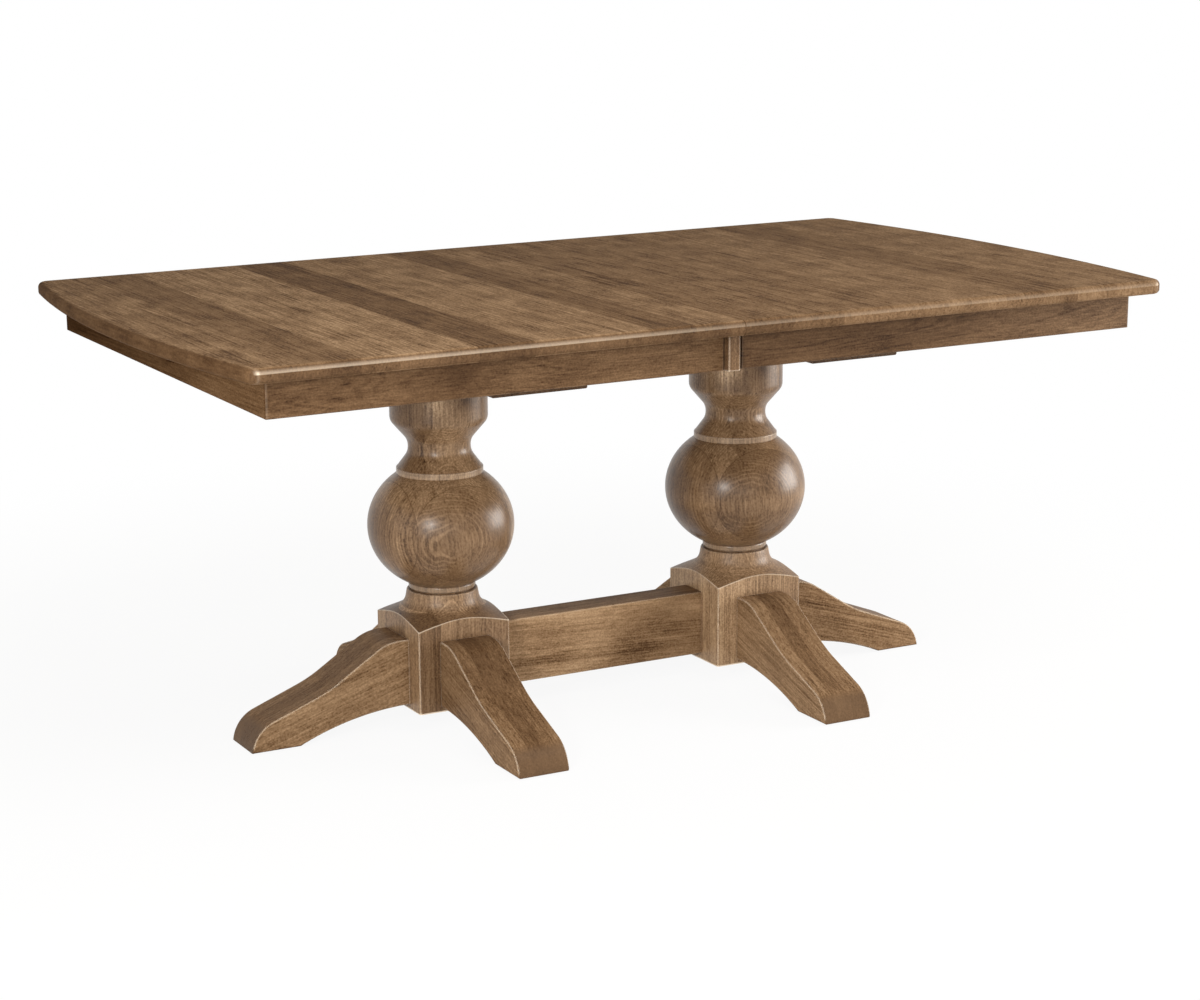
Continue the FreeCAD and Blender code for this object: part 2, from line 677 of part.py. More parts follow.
def fixed_screw_spots(side):
    """Screws up through one cleat into both fixed runners."""
    spots = []
    for way in (-1, 1):
        x = side * pedestal_x + way * FIXED_SCREW_SHARE * CLEAT_WIDTH
        spots += [V(x, -slide_y, column_top), V(x, slide_y, column_top)]
    return spots


def cleat(side):
    """Board across the top of one column."""
    middle = side * pedestal_x
    board = box(middle - CLEAT_WIDTH / 2, middle + CLEAT_WIDTH / 2, -cleat_half_length, cleat_half_length,
                column_top, cleat_top)
    arrises = [e for e in edges_at(board, z=column_top) if e.BoundBox.YLength > NEAR]
    board = board.makeFillet(CLEAT_EASE, arrises)
    holes = screw_holes(fixed_screw_spots(side), UP, CLEAT_THICKNESS + CLEAT_SCREW_BITE)
    for spot in lag_spots():
        holes.append(lag_screw(spot + V(middle, 0, 0), PEG_ROOM))
    return board.cut(holes).Solids[0]


def tongue(near, far, room):
    """Dovetail along X between two distances from the slide's middle line, towards -Y, or its groove."""
    slope = (TONGUE_TIP - TONGUE_NECK) / 2 / (RUNNER_SIDE_GAP + TONGUE_DEPTH)

    def half(distance):
        return TONGUE_NECK / 2 + room + slope * (moving_near - distance)

    outline = [V(0, -near, tongue_level - half(near)), V(0, -far, tongue_level - half(far)),
               V(0, -far, tongue_level + half(far)), V(0, -near, tongue_level + half(near))]
    return Part.Face(Part.makePolygon(outline + outline[:1]))


def to_front(shape):
    """Moves a piece of a slide from the middle line to the front slide."""
    shape.translate(V(0, -slide_y, 0))
    return shape


def fixed_runner():
    """Front fixed runner: a dovetail groove on each side and the pinion's mortise at the middle."""
    rail = box(-fixed_end, fixed_end, -runner_half, runner_half, cleat_top, fixed_top)
    groove = tongue(runner_half - TONGUE_DEPTH - TONGUE_ROOM, runner_half + OVERRUN, TONGUE_ROOM)
    groove = groove.extrude(V(2 * fixed_end + 2 * OVERRUN, 0, 0))
    groove.translate(V(-fixed_end - OVERRUN, 0, 0))
    floor = gear_level - PINION_FACE / 2
    mortise = Part.makeCylinder(pinion_tip + MORTISE_ROOM, RACK_FACE, V(0, 0, floor), UP)
    axle_foot = V(0, 0, fixed_top - AXLE_LENGTH)
    axle = Part.makeCylinder(AXLE_RADIUS + PEG_ROOM, AXLE_LENGTH + OVERRUN, axle_foot, UP)
    rail = to_front(rail.cut([groove, mirrored(groove), mortise, axle]))
    holes = []
    for side in (-1, 1):
        holes += screw_holes(fixed_screw_spots(side), UP, CLEAT_THICKNESS + CLEAT_SCREW_BITE)
    return rail.cut(holes).Solids[0]


def pinion_axle():
    return to_front(Part.makeCylinder(AXLE_RADIUS, AXLE_LENGTH, V(0, 0, fixed_top - AXLE_LENGTH), UP))


def involute(angle):
    return math.tan(angle) - angle


def pinion():
    """Front pinion: involute teeth, one of them square to the table's front."""
    pressure = math.radians(PRESSURE_ANGLE)
    base = pitch_radius * math.cos(pressure)
    root = pitch_radius - gear_root_depth
    radii = [root] + [base + (pinion_tip - base) * i / (FLANK_POINTS - 1) for i in range(FLANK_POINTS)]

    def half_angle(radius):
        flank = math.acos(min(1, base / radius))
        thinning = BACKLASH / 2 / pitch_radius
        return math.pi / (2 * PINION_TEETH) + involute(pressure) - involute(flank) - thinning

    bottom = gear_level - PINION_FACE / 2
    outline = []
    for tooth in range(PINION_TEETH):
        middle = 2 * math.pi * tooth / PINION_TEETH
        rising = [(radius, middle - half_angle(radius)) for radius in radii]
        falling = [(radius, middle + half_angle(radius)) for radius in reversed(radii)]
        for radius, turn in rising + falling:
            outline.append(V(radius * math.cos(turn), radius * math.sin(turn), bottom))
    wheel = Part.Face(Part.makePolygon(outline + outline[:1])).extrude(UP * PINION_FACE)
    spot = V(0, 0, bottom - OVERRUN)
    bore = Part.makeCylinder(AXLE_RADIUS + AXLE_ROOM, PINION_FACE + 2 * OVERRUN, spot, UP)
    return to_front(wheel.cut(bore).Solids[0])


def rack():
    """Left half's front rack: teeth towards the pinion, with a gap between teeth at the middle."""
    lean = math.tan(math.radians(PRESSURE_ANGLE))
    half_tip = tooth_pitch / 4 - gear_module * lean - BACKLASH / 2
    half_root = tooth_pitch / 4 + gear_root_depth * lean - BACKLASH / 2
    tip = -(pitch_radius - gear_module)
    root = -(pitch_radius + gear_root_depth)
    outline = [(rack_start, -rack_back), (rack_start, root)]
    for tooth in range(round((rack_end - rack_start) / tooth_pitch)):
        middle = rack_start + (tooth + 1 / 2) * tooth_pitch
        outline += [(middle - half_root, root), (middle - half_tip, tip), (middle + half_tip, tip),
                    (middle + half_root, root)]
    outline += [(rack_end, root), (rack_end, -rack_back)]
    return to_front(plan_prism(outline, gear_level - RACK_FACE / 2, gear_level + RACK_FACE / 2))


def runner_screw_spots():
    """Screws up through the left half's front runner."""
    y = -slide_y - moving_middle
    return [V(-share * moving_end, y, moving_bottom) for share in RUNNER_SCREW_SHARES]


def moving_runner():
    """Left half's front runner: dovetail tongue, rack groove, and room under the right half."""
    rail = box(-moving_end, runner_lap, -moving_far, -moving_near, moving_bottom, top_under)
    key = tongue(runner_half - TONGUE_DEPTH, moving_near + RUNNER_SIDE_GAP, 0)
    key = key.extrude(V(moving_end + runner_lap, 0, 0))
    key.translate(V(-moving_end, 0, 0))
    half_face = RACK_FACE / 2
    slot = box(rack_start, rack_end, -rack_back, 0, gear_level - half_face, gear_level + half_face)
    ceiling = top_under - LAP_ROOM
    lap = box(0, runner_lap + OVERRUN, -moving_far - OVERRUN, 0, ceiling, top_under + OVERRUN)
    rail = to_front(rail.fuse(key).removeSplitter().cut([slot, lap]))
    return rail.cut(screw_holes(runner_screw_spots(), UP, runner_height + SCREW_BITE)).Solids[0]


def runner_screws():
    return [screw(spot, UP, runner_height + SCREW_BITE) for spot in runner_screw_spots()]


def right_of(shape):
    """A front slide piece of the left half, turned about the pinion's axis for the right half."""
    return turned_about(shape, V(0, -slide_y, 0), 180)


# Table locks


def lock_plate():
    """Front lock's plate on the left half, with the rivet's hole."""
    middle = -LOCK_PIVOT_SETBACK
    half_width = LOCK_PLATE_WIDTH / 2
    plate = box(middle - LOCK_PLATE_LENGTH / 2, middle + LOCK_PLATE_LENGTH / 2,
                -lock_y - half_width, -lock_y + half_width, lever_top, top_under)
    spot = V(middle, -lock_y, lever_top - OVERRUN)
    hole = Part.makeCylinder(RIVET_RADIUS + PEG_ROOM, LOCK_PLATE_THICKNESS + 2 * OVERRUN, spot, UP)
    return plate.cut(hole).Solids[0]


def lock_rivet():
    """Rivet that carries the front lock's lever."""
    spot = V(-LOCK_PIVOT_SETBACK, -lock_y, lever_bottom - RIVET_HEAD_HEIGHT)
    head = Part.makeCylinder(RIVET_HEAD_RADIUS, RIVET_HEAD_HEIGHT, spot, UP)
    shank = Part.makeCylinder(RIVET_RADIUS, top_under - spot.z, spot, UP)
    return head.fuse(shank).removeSplitter().Solids[0]


def lock_lever():
    """Front lock's lever, swung open towards the apron; closing it turns it across the seam."""
    reach = lever_reach + LEVER_END_RADIUS
    half_width = LEVER_WIDTH / 2
    arm = box(0, reach, -half_width, half_width, lever_bottom, lever_top)
    boss = Part.makeCylinder(LEVER_END_RADIUS, LEVER_THICKNESS, V(0, 0, lever_bottom), UP)
    tab = box(reach - LEVER_TAB_LENGTH, reach, -half_width, half_width, lever_top - LEVER_TAB_DROP, lever_top)
    blank = arm.fuse([boss, tab]).removeSplitter()
    half_slot = LOCK_STUD_RADIUS + LOCK_STUD_ROOM
    stop = math.degrees(half_slot / lever_reach)
    sweep = math.degrees(LEVER_WIDTH / lever_reach)
    depth = LEVER_THICKNESS + 2 * OVERRUN
    spot = V(0, 0, lever_bottom - OVERRUN)
    inner = Part.makeCylinder(lever_reach - half_slot, depth, spot, UP, stop + sweep)
    outer = Part.makeCylinder(lever_reach + half_slot, depth, spot, UP, stop + sweep)
    slot = turned_about(outer.cut(inner), V(0, 0, 0), -stop)
    bore = Part.makeCylinder(RIVET_RADIUS + AXLE_ROOM, depth, spot, UP)
    lever = turned_about(blank.cut([slot, bore]), V(0, 0, 0), -LOCK_SWING)
    lever.translate(V(-LOCK_PIVOT_SETBACK, -lock_y, 0))
    return lever.Solids[0]


def lock_keeper():
    """Front lock's keeper on the right half: a plate with a stud that the lever hooks."""
    start = LOCK_STUD_SETBACK / 2
    half_width = LOCK_PLATE_WIDTH / 2
    plate = box(start, start + KEEPER_LENGTH, -lock_y - half_width, -lock_y + half_width,
                top_under - KEEPER_THICKNESS, top_under)
    spot = V(LOCK_STUD_SETBACK, -lock_y, lever_bottom)
    stud = Part.makeCylinder(LOCK_STUD_RADIUS, top_under - lever_bottom, spot, UP)
    return plate.fuse(stud).removeSplitter().Solids[0]


# Assembly


def half_screw_holes(side, runner_spots):
    """Pilot holes in the underside of one half of the top."""
    holes = screw_holes(glue_screw_spots(side), UP, GLUE_BLOCK_SIDE + SCREW_BITE)
    corner = screw_holes([corner_screw_spot(side)], UP, CORNER_BLOCK_HEIGHT + SCREW_BITE)
    runner = screw_holes(runner_spots, UP, runner_height + SCREW_BITE)
    if side < 0:
        seam = screw_holes(seam_block_spots(), UP, APRON_HEIGHT + SCREW_BITE)
        paired = corner + runner + seam
    else:
        paired = corner + [right_of(hole) for hole in runner]
    return holes + paired + [mirrored(hole) for hole in paired]


def placed(shape, heading, place):
    """A piece of a pedestal at the origin, turned to its heading and set in its place."""
    return turned_about(shape, V(0, 0, 0), heading).translated(place)


def pedestal_parts():
    parts = {}
    glide_set = []
    leg_dowel_set = []
    lag_set = []
    screw_set = []
    one_leg = leg()
    for side, name in ((-1, "left"), (1, "right")):
        place = V(side * pedestal_x, 0, 0)
        parts[name + "_column"] = column(side).translated(place)
        parts[name + "_cleat"] = cleat(side)
        lag_set += [lag_screw(spot + place) for spot in lag_spots()]
        grip = CLEAT_THICKNESS + CLEAT_SCREW_BITE
        screw_set += [screw(spot, UP, grip) for spot in fixed_screw_spots(side)]
        for where, heading in leg_headings(side).items():
            parts[name + "_" + where + "_leg"] = placed(one_leg, heading, place)
            glide_set += [placed(one, heading, place) for one in glides()]
            leg_dowel_set += [placed(one, heading, place) for one in dowels(leg_dowel_spots())]
    parts["stretcher"] = stretcher()
    parts["foot_glides"] = Part.makeCompound(glide_set)
    parts["leg_dowels"] = Part.makeCompound(leg_dowel_set)
    parts["stretcher_dowels"] = both_ends(dowels(stretcher_dowel_spots()))
    parts["stretcher_bolts"] = both_ends([bolt()])
    parts["stretcher_nuts"] = both_ends([stretcher_nut()])
    parts["stretcher_washers"] = both_ends([stretcher_washer()])
    parts["cleat_lag_screws"] = Part.makeCompound(lag_set)
    parts["fixed_runner_screws"] = Part.makeCompound(screw_set)
    return parts


def slide_parts():
    parts = {}
    front = {"front_fixed_runner": fixed_runner(), "front_pinion": pinion(),
             "left_front_runner": moving_runner(), "left_front_rack": rack()}
    front["right_front_runner"] = right_of(front["left_front_runner"])
    front["right_front_rack"] = right_of(front["left_front_rack"])
    for name, shape in front.items():
        parts[name] = shape
        parts[name.replace("front", "back")] = mirrored(shape)
    axle = pinion_axle()
    parts["pinion_axles"] = Part.makeCompound([axle, mirrored(axle)])
    left = runner_screws()
    right = [right_of(one) for one in left]
    parts["left_runner_screws"] = Part.makeCompound(left + [mirrored(one) for one in left])
    parts["right_runner_screws"] = Part.makeCompound(right + [mirrored(one) for one in right])
    return parts


def half_parts():
    parts = {}
    whole = whole_top()
    for side, name, room in ((-1, "left", PEG_ROOM), (1, "right", PIN_ROOM)):
        holes = half_screw_holes(side, runner_screw_spots())
        parts[name + "_top"] = top_half(whole, side, room, holes)
        parts[name + "_end_apron"] = end_apron(side)
        parts[name + "_front_apron"] = side_apron(side)
        parts[name + "_back_apron"] = mirrored(side_apron(side))
        parts[name + "_front_corner_block"] = corner_block(side)
        parts[name + "_back_corner_block"] = mirrored(corner_block(side))
        parts[name + "_glue_blocks"] = glue_blocks(side)
        parts[name + "_block_screws"] = Part.makeCompound(block_screws(side))
    parts["front_seam_block"] = seam_block()
    parts["back_seam_block"] = mirrored(seam_block())
    parts["alignment_pins"] = alignment_pins()
    return parts


def lock_parts():
    lever = lock_lever()
    parts = {"front_lock_lever": lever, "back_lock_lever": mirrored(lever)}
    pairs = {"lock_plates": lock_plate(), "lock_rivets": lock_rivet(), "lock_keepers": lock_keeper()}
    for name, shape in pairs.items():
        parts[name] = Part.makeCompound([shape, mirrored(shape)])
    return parts


os.makedirs("parts", exist_ok=True)
for build in (pedestal_parts, slide_parts, half_parts, lock_parts):
    for node, shape in build().items():
        shape.exportStep("parts/" + node + ".step")
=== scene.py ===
"""Looks of the double pedestal dining table: camera, studio, stained wood and hardware."""

import math

import bpy
from mathutils import Matrix, Vector


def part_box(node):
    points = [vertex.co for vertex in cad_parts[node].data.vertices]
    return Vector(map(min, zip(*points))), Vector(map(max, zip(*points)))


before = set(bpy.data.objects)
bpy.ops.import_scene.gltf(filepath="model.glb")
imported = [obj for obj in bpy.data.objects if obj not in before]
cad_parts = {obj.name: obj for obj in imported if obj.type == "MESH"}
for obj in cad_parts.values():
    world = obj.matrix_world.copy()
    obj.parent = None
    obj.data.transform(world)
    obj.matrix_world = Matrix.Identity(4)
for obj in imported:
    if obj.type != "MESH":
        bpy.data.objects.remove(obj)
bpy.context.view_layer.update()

MM = 0.001

# Camera, at the photograph's viewing angle
PICTURE_WIDTH = 1200
PICTURE_HEIGHT = 1000
SENSOR_WIDTH = 36.0
CAMERA_PLACE = (-2.3084, -4.2624, 1.4882)
CAMERA_HEADING = math.radians(26.759)
CAMERA_DIP = math.radians(14.538)
CAMERA_ROLL = math.radians(-0.761)
FOCAL_PIXELS = 2693.9
MIDDLE_PIXEL = (515.74, 572.18)

# Studio, in metres
FLOOR_HALF = 60.0
FLOOR_DROP = 0.4 * MM
FLOOR_COLOUR = (0.78, 0.78, 0.78, 1.0)
FLOOR_GLOW_SHARE = 0.92
FLOOR_FADE_START = 0.9
FLOOR_FADE_END = 2.4
WHITE = (1.0, 1.0, 1.0, 1.0)
LAMP_COLOUR = (1.0, 0.975, 0.94)
AMBIENT_COLOUR = (1.0, 0.93, 0.84)
AMBIENT = 0.37
# name: place, aim, width, height, watts
LAMPS = {
    "left_box": ((-2.30, -2.30, 1.30), (-0.1, 0.0, 0.40), 0.5, 0.5, 47.0),
    "strip_box": ((-2.74, -2.26, 1.05), (-0.2, 0.0, 0.50), 0.35, 2.1, 25.0),
    "right_box": ((3.30, -1.10, 0.95), (0.1, 0.0, 0.40), 2.0, 1.7, 143.0),
    "front_box": ((-1.2, -4.4, 0.9), (0.0, 0.0, 0.25), 3.0, 0.9, 16.0),
    "side_box": ((-3.60, -0.20, 0.9), (-0.6, 0.0, 0.40), 2.0, 1.6, 8.0),
    "overhead_box": ((-0.1, -1.7, 2.4), (0.0, -0.4, 0.6), 2.0, 1.2, 35.0),
}

# Stained wood: colour at tone 1, how fast each channel follows the tone, and the pale colour of bare wood
# at worn edges, which is also laid on as painted highlight
STAIN = (0.183, 0.1096, 0.0572)
STAIN_POWERS = (1.0, 1.15, 1.30)
WORN_AND_SHEEN = (0.76, 0.64, 0.50)

# Feature sizes of the wood's patterns in mm: along the grain, then across it twice
BEND_SIZES = (420, 70, 70)
WOBBLE_SIZES = (70, 16, 16)
SHOWN_SIZES = (190, 40, 40)
FIBRE_SIZES = (260, 3.6, 3.6)
FLECK_SIZES = (16, 2.6, 2.6)
GRIT_SIZES = (3.2, 2.8, 2.8)
CLOUD_SIZES = (170, 55, 55)
STREAK_SIZES = (700, 14, 14)
PATCH_SIZES = (30, 30, 30)
# The same for patterns that are counted in rings
RING_WIDTH_SIZES = (3.0, 1, 1)
RING_STRENGTH_SIZES = (2.2, 1, 1)
# How far a seed moves the patterns, and how far rings wobble, in mm
SEED_SHIFTS = (3710.0, 1930.0, 2470.0)
RING_WOBBLE = 2.0
# How strongly each pattern changes the shade, the shade without them, the least shade, and the shade
# deep in a corner, darkened there by gathered stain and by painted shade
FIBRE_CHANGE = 1.7
FLECK_CHANGE = 1.1
GRIT_CHANGE = 1.3
LATE_WOOD_CHANGE = 0.40
STREAK_CHANGE = 0.22
MIDDLE_SHADE = 1.06
LEAST_SHADE = 0.28
CORNER_SHADE = 0.5
# How far wear reaches from an arris, and stain and painted shade from a corner
ARRIS_REACH = 3.8 * MM
CORNER_REACH = 10 * MM
OCCLUSION_SAMPLES = 8

# Top, in mm: left end, height of the boards' pith, shift of a board by its seed, and the stretches along X
# over which the long edges grow paler, end grain with painted shade, and the painted highlight on the front
# one grows weaker
TOP_LEFT_END = -915
TOP_PITH_HEIGHT = 640.0
BOARD_SHIFT = 400
EDGE_TONE_STRETCH = (0.0, 300.0)
EDGE_HIGHLIGHT_STRETCH = (-420.0, 150.0)
# Edges of the top: tone that the boards come near to there, how much darker the long edges are on the left
# from end grain and painted shade and how much of this goes, the painted shade on the bowed ends, and the
# painted highlight along the front edge, how much of it goes, and the glint at its corners
EDGE_TONE = 0.90
EDGE_DARK = 0.51
EDGE_DARK_FALL = 0.38
BOWED_END_PAINTED_SHADE = 0.50
EDGE_HIGHLIGHT = 0.30
EDGE_HIGHLIGHT_FALL = 0.17
CORNER_GLINT = 0.45
# Boards of the top, left to right: right edge in mm, tone, seed, sawing offset in mm
BOARDS = (
    (-780, 1.06, 0.13, 40),
    (-687, 0.82, 0.37, 0),
    (-492, 1.26, 0.71, 260),
    (-390, 0.66, 0.05, 320),
    (-172, 1.14, 0.52, 60),
    (-97, 0.72, 0.94, 210),
    (-2, 1.04, 0.28, 0),
    (62, 0.82, 0.66, 180),
    (187, 0.92, 0.81, 10),
    (357, 0.94, 0.43, 240),
    (562, 1.06, 0.19, 20),
    (672, 0.82, 0.58, 0),
    (915, 1.06, 0.77, 130),
)
# Largest tone and sawing offset that a table of boards or strips may hold
TONE_LIMIT = 2
OFFSET_LIMIT = 1000

# Front aprons, in mm: height of the pith, spread and squared depth of the cathedral grain, and a knot
# with its place in X and Z, its size, how far it pushes the rings and how much darker it is
APRON_PITH_HEIGHT = 738.0
CATHEDRAL_SPREAD = 0.012
CATHEDRAL_DEPTH_SQUARED = 500.0
KNOT_PLACE = (-505.0, 722.0)
KNOT_SIZE = (38.0, 24.0)
KNOT_SWIRL = 12.0
KNOT_DARK = 0.38
# Where a front apron starts to grow paler in X, where this is full, and the tone that it adds
LEFT_APRON_PALE = (-520.0, -350.0, 0.14)
RIGHT_APRON_PALE = (300.0, 800.0, 0.58)

# End aprons, in mm: pith, dark line at the mitres, and the stretch along Y over which the tone falls
END_PITH_HEIGHT = 705.0
END_PITH_DEPTH = 60.0
MITRE_REACH = abs(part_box("left_front_apron")[0].y) / MM
MITRE_LINE = 5.0
END_TONE_STRETCH = (-600.0, 500.0)
# Tone of the end aprons at the front, how much it falls, and how much darker the mitres are
END_FRONT_TONE = 1.82
END_TONE_FALL = 1.1
MITRE_DARK = 0.6

# Columns, in mm: heights above the floor, from low to high
BLOCK_ARRIS_STRETCH = (165.0, 190.0)
BLOCK_TOP = 214.0
COVE_TOP = 243.0
BEAD_MIDDLE = 250.0
BALL_MIDDLE = 360.2
BELT_MIDDLE = BALL_MIDDLE - 8.0
COLLAR_MIDDLE = 461.0
# stretch over which the painted light and shade on the ball under the collar comes in
UNDER_COLLAR_LIGHT_SPAN = (BALL_MIDDLE + 40.0, COLLAR_MIDDLE - 15.0)
NECK_TOP = 600.0
DRUM_START = (NECK_TOP - 40.0, NECK_TOP)
# Columns, in mm: half heights of the painted reflection belt round the ball and of the collar and bead
# rubbed pale
BELT_HALF = 26.0
BAND_HALF = 7.5
# Columns, in mm from their axis: core, glue lines, pith of each board, the rim of the left cap where shade
# is painted, and the drum's pale wood with painted highlight and the painted shade beside it
BLANK_HALF = 90.0
GLUE_HALF = 1.3
CORE_PITH = 160.0
FRONT_CAP_PITH = 620.0
SIDE_CAP_PITH = 540.0
CAP_RIM_PAINTED_SHADE = (-148.0, -105.0)
PALE_AND_HIGHLIGHT_HALF = 30.0
DRUM_SHADE_SHIFT = 62.0
DRUM_SHADE_HALF = 38.0
# A curl in the grain of the left drum: place on the table, size and how far it pushes the rings, in mm
DRUM_CURL = (-339.0, -82.0, 592.0)
CURL_WIDTH = 20.0
CURL_HEIGHT = 14.0
CURL_SWIRL = 30.0
# Tones of both columns: all over, then added on the cove, painted shade on the shoulder, the ball, the drum,
# the drum's pale wood with painted highlight, and painted shade on the drum
COLUMN_TONE = 0.97
COVE_TONE = 0.06
SHOULDER_PAINTED_SHADE = -0.22
BALL_TONE = -0.15
DRUM_TONE = -0.06
PALE_AND_HIGHLIGHT_TONE = 1.15
DRUM_SHADE_TONE = -0.58
GLUE_DARK = 0.35
# Boards of a column's core, left to right: right edge in mm, tone, seed, sawing offset in mm
LEFT_CORE_STRIPS = ((-47, 0.70, 0.10, 60), (-2, 1.04, 0.53, 30), (44, 0.98, 0.27, 75), (90, 0.90, 0.85, 20))
RIGHT_CORE_STRIPS = ((-47, 1.24, 0.42, 45), (-2, 1.06, 0.16, 80), (44, 1.02, 0.71, 25), (90, 0.98, 0.35, 60))
# Looks of the columns: boards of the core, tones of the side caps (left rim, left, right), with painted
# shade at the rim and partly painted light on the right, and of the front and back caps, place of the drum's
# pale wood and painted highlight in mm from the axis, and the tones added on the block, painted light on
# the block's sides, painted light and shade on the ball under the collar, the neck, and a painted
# reflection belt round the ball
COLUMN_LOOKS = {
    "left": {
        "strips": LEFT_CORE_STRIPS, "caps": (0.40, 0.99, 1.45), "front_cap": 0.87, "drum_highlight_place": -45.0,
        "block": -0.06, "side_painted_light": 0.74, "under_collar_light_and_shade": 0.24, "neck": 0.05, "painted_reflection_belt": 0.08,
    },
    "right": {
        "strips": RIGHT_CORE_STRIPS, "caps": (0.42, 0.86, 1.00), "front_cap": 0.81, "drum_highlight_place": -56.0,
        "block": 0.23, "side_painted_light": 0.04, "under_collar_light_and_shade": -0.06, "neck": -0.20, "painted_reflection_belt": 0.32,
    },
}

# Legs: slope of the grain and height of the leg's root; then, in mm from the column's axis and from that
# height, the pith, the half width of the strips, where the foot grows paler, and the unworn sole
LEG_SLOPE = math.radians(17.0)
LEG_ROOT_HEIGHT = 150
LEG_PITH = 90.0
LEG_STRIPS_HALF = 50
LEG_FOOT_STRETCH = (120.0, 340.0)
LEG_SOLE_STRETCH = (-144.0, -130.0)
# Tone that the strips come near to on the nose, and the painted light added on the sides of a leg
NOSE_TONE = 0.92
LEG_SIDE_PAINTED_LIGHT = 0.20
# Strips of the legs across their width: edge in mm, tone, seed, sawing offset in mm
LEG_STRIPS = {
    "end": ((-14, 1.16, 0.12, 30), (20, 0.90, 0.45, 90), (50, 1.14, 0.77, 10)),
    "front": ((-20, 1.14, 0.22, 60), (12, 0.76, 0.64, 20), (50, 1.06, 0.37, 120)),
    "back": ((-12, 1.1, 0.31, 20), (16, 1.2, 0.58, 80), (50, 1.05, 0.86, 30)),
}
# Looks of the legs: tone, how much darker the nose is, how much paler the foot is, worn arrises
LEG_LOOKS = {
    "left": {
        "end": (0.84, 0.36, 0.0, 3.0),
        "front": (0.67, 0.40, 0.20, 3.0),
        "back": (1.0, 0.3, 0.0, 3.0),
    },
    "right": {
        "end": (0.76, 0.36, 0.0, 5.0),
        "front": (0.90, 0.46, 0.12, 3.0),
        "back": (1.0, 0.3, 0.0, 3.0),
    },
}

# Stretcher, in mm: pith, and the stretches along X and Z over which its tone falls
STRETCHER_PITH_HEIGHT = 60.0
STRETCHER_PITH_DEPTH = 210.0
STRETCHER_TONE_X = (-160.0, 200.0)
STRETCHER_TONE_Z = (70.0, 160.0)
# Tone of the stretcher on the left, partly painted light, and low down, and how much it falls along X and
# along Z, and the painted shade on its top face
STRETCHER_LEFT_TONE = 1.55
STRETCHER_LOW_TONE = 1.06
STRETCHER_FALL_X = 0.48
STRETCHER_FALL_Z = 0.14
STRETCHER_TOP_PAINTED_SHADE = 0.22

# Pith of the plain pieces, in mm across the grain
PLAIN_PITH = (130.0, 210.0)

# Steel and nylon: feature sizes in mm, reach of the edges and depth of the relief
SCRATCH_SIZES = (14, 0.5, 0.5)
DULL_SIZES = (9, 9, 9)
STEEL_EDGE = 1.2 * MM
SCRATCH_DEPTH = 0.03 * MM
SKIN_SIZES = (0.8, 0.8, 0.8)
FLOW_SIZES = (12, 12, 12)
NYLON_EDGE = 0.8 * MM
SKIN_DEPTH = 0.05 * MM


def plug(tree, socket, value):
    """Links a field to a socket, or writes a plain number or vector there."""
    if isinstance(value, Field):
        tree.links.new(value.socket, socket)
    else:
        socket.default_value = value


class Field:
    """A shader value that varies over a surface. Arithmetic on it adds nodes to its tree."""

    def __init__(self, tree, socket):
        self.tree = tree
        self.socket = socket

    def math(self, operation, *values):
        """A math node of these values, in their order."""
        node = self.tree.nodes.new("ShaderNodeMath")
        node.operation = operation
        for socket, value in zip(node.inputs, values):
            plug(self.tree, socket, value)
        return Field(self.tree, node.outputs[0])

    def __add__(self, other):
        return self.math("ADD", self, other)

    def __sub__(self, other):
        return self.math("SUBTRACT", self, other)

    def __rsub__(self, other):
        return self.math("SUBTRACT", other, self)

    def __mul__(self, other):
        return self.math("MULTIPLY", self, other)

    def __truediv__(self, other):
        return self.math("DIVIDE", self, other)

    def __rtruediv__(self, other):
        return self.math("DIVIDE", other, self)

    def __pow__(self, other):
        return self.math("POWER", self, other)

    def __abs__(self):
        return self.math("ABSOLUTE", self)

    __radd__ = __add__
    __rmul__ = __mul__

    def over(self, limit):
        """1 where the value is above the limit, else 0."""
        return self.math("GREATER_THAN", self, limit)

    def larger(self, other):
        return self.math("MAXIMUM", self, other)

    def smaller(self, other):
        return self.math("MINIMUM", self, other)

    def hill(self):
        """1 where the value is 0, falling off like a bell."""
        return self.math("EXPONENT", self * self * -1.0)

    def rise(self, low, high):
        """0 below low, 1 above high, and smooth between them."""
        node = self.tree.nodes.new("ShaderNodeMapRange")
        node.interpolation_type = "SMOOTHSTEP"
        for name, value in (("Value", self), ("From Min", low), ("From Max", high)):
            plug(self.tree, node.inputs[name], value)
        return Field(self.tree, node.outputs["Result"])

    def near(self, middle, width):
        """1 at the middle value, falling smoothly to 0 within the width."""
        return 1.0 - abs(self - middle).rise(0.0, width)


class Place(Field):
    """A vector field."""

    def vector_math(self, operation, other):
        """A vector math node of this field and another vector."""
        node = self.tree.nodes.new("ShaderNodeVectorMath")
        node.operation = operation
        plug(self.tree, node.inputs[0], self)
        plug(self.tree, node.inputs[1], other)
        return node

    def plus(self, other):
        return Place(self.tree, self.vector_math("ADD", other).outputs["Vector"])

    def times(self, other):
        return Place(self.tree, self.vector_math("MULTIPLY", other).outputs["Vector"])

    def along(self, axis):
        """Distance along an axis."""
        return Field(self.tree, self.vector_math("DOT_PRODUCT", tuple(axis)).outputs["Value"])

    def parts(self):
        """The three numbers of the vector, each a field."""
        node = self.tree.nodes.new("ShaderNodeSeparateXYZ")
        plug(self.tree, node.inputs[0], self)
        return [Field(self.tree, output) for output in node.outputs]


def joined(x, y, z):
    """One vector field of three numbers or fields, at least one of them a field."""
    tree = next(value.tree for value in (x, y, z) if isinstance(value, Field))
    node = tree.nodes.new("ShaderNodeCombineXYZ")
    for socket, value in zip(node.inputs, (x, y, z)):
        plug(tree, socket, value)
    return Place(tree, node.outputs[0])


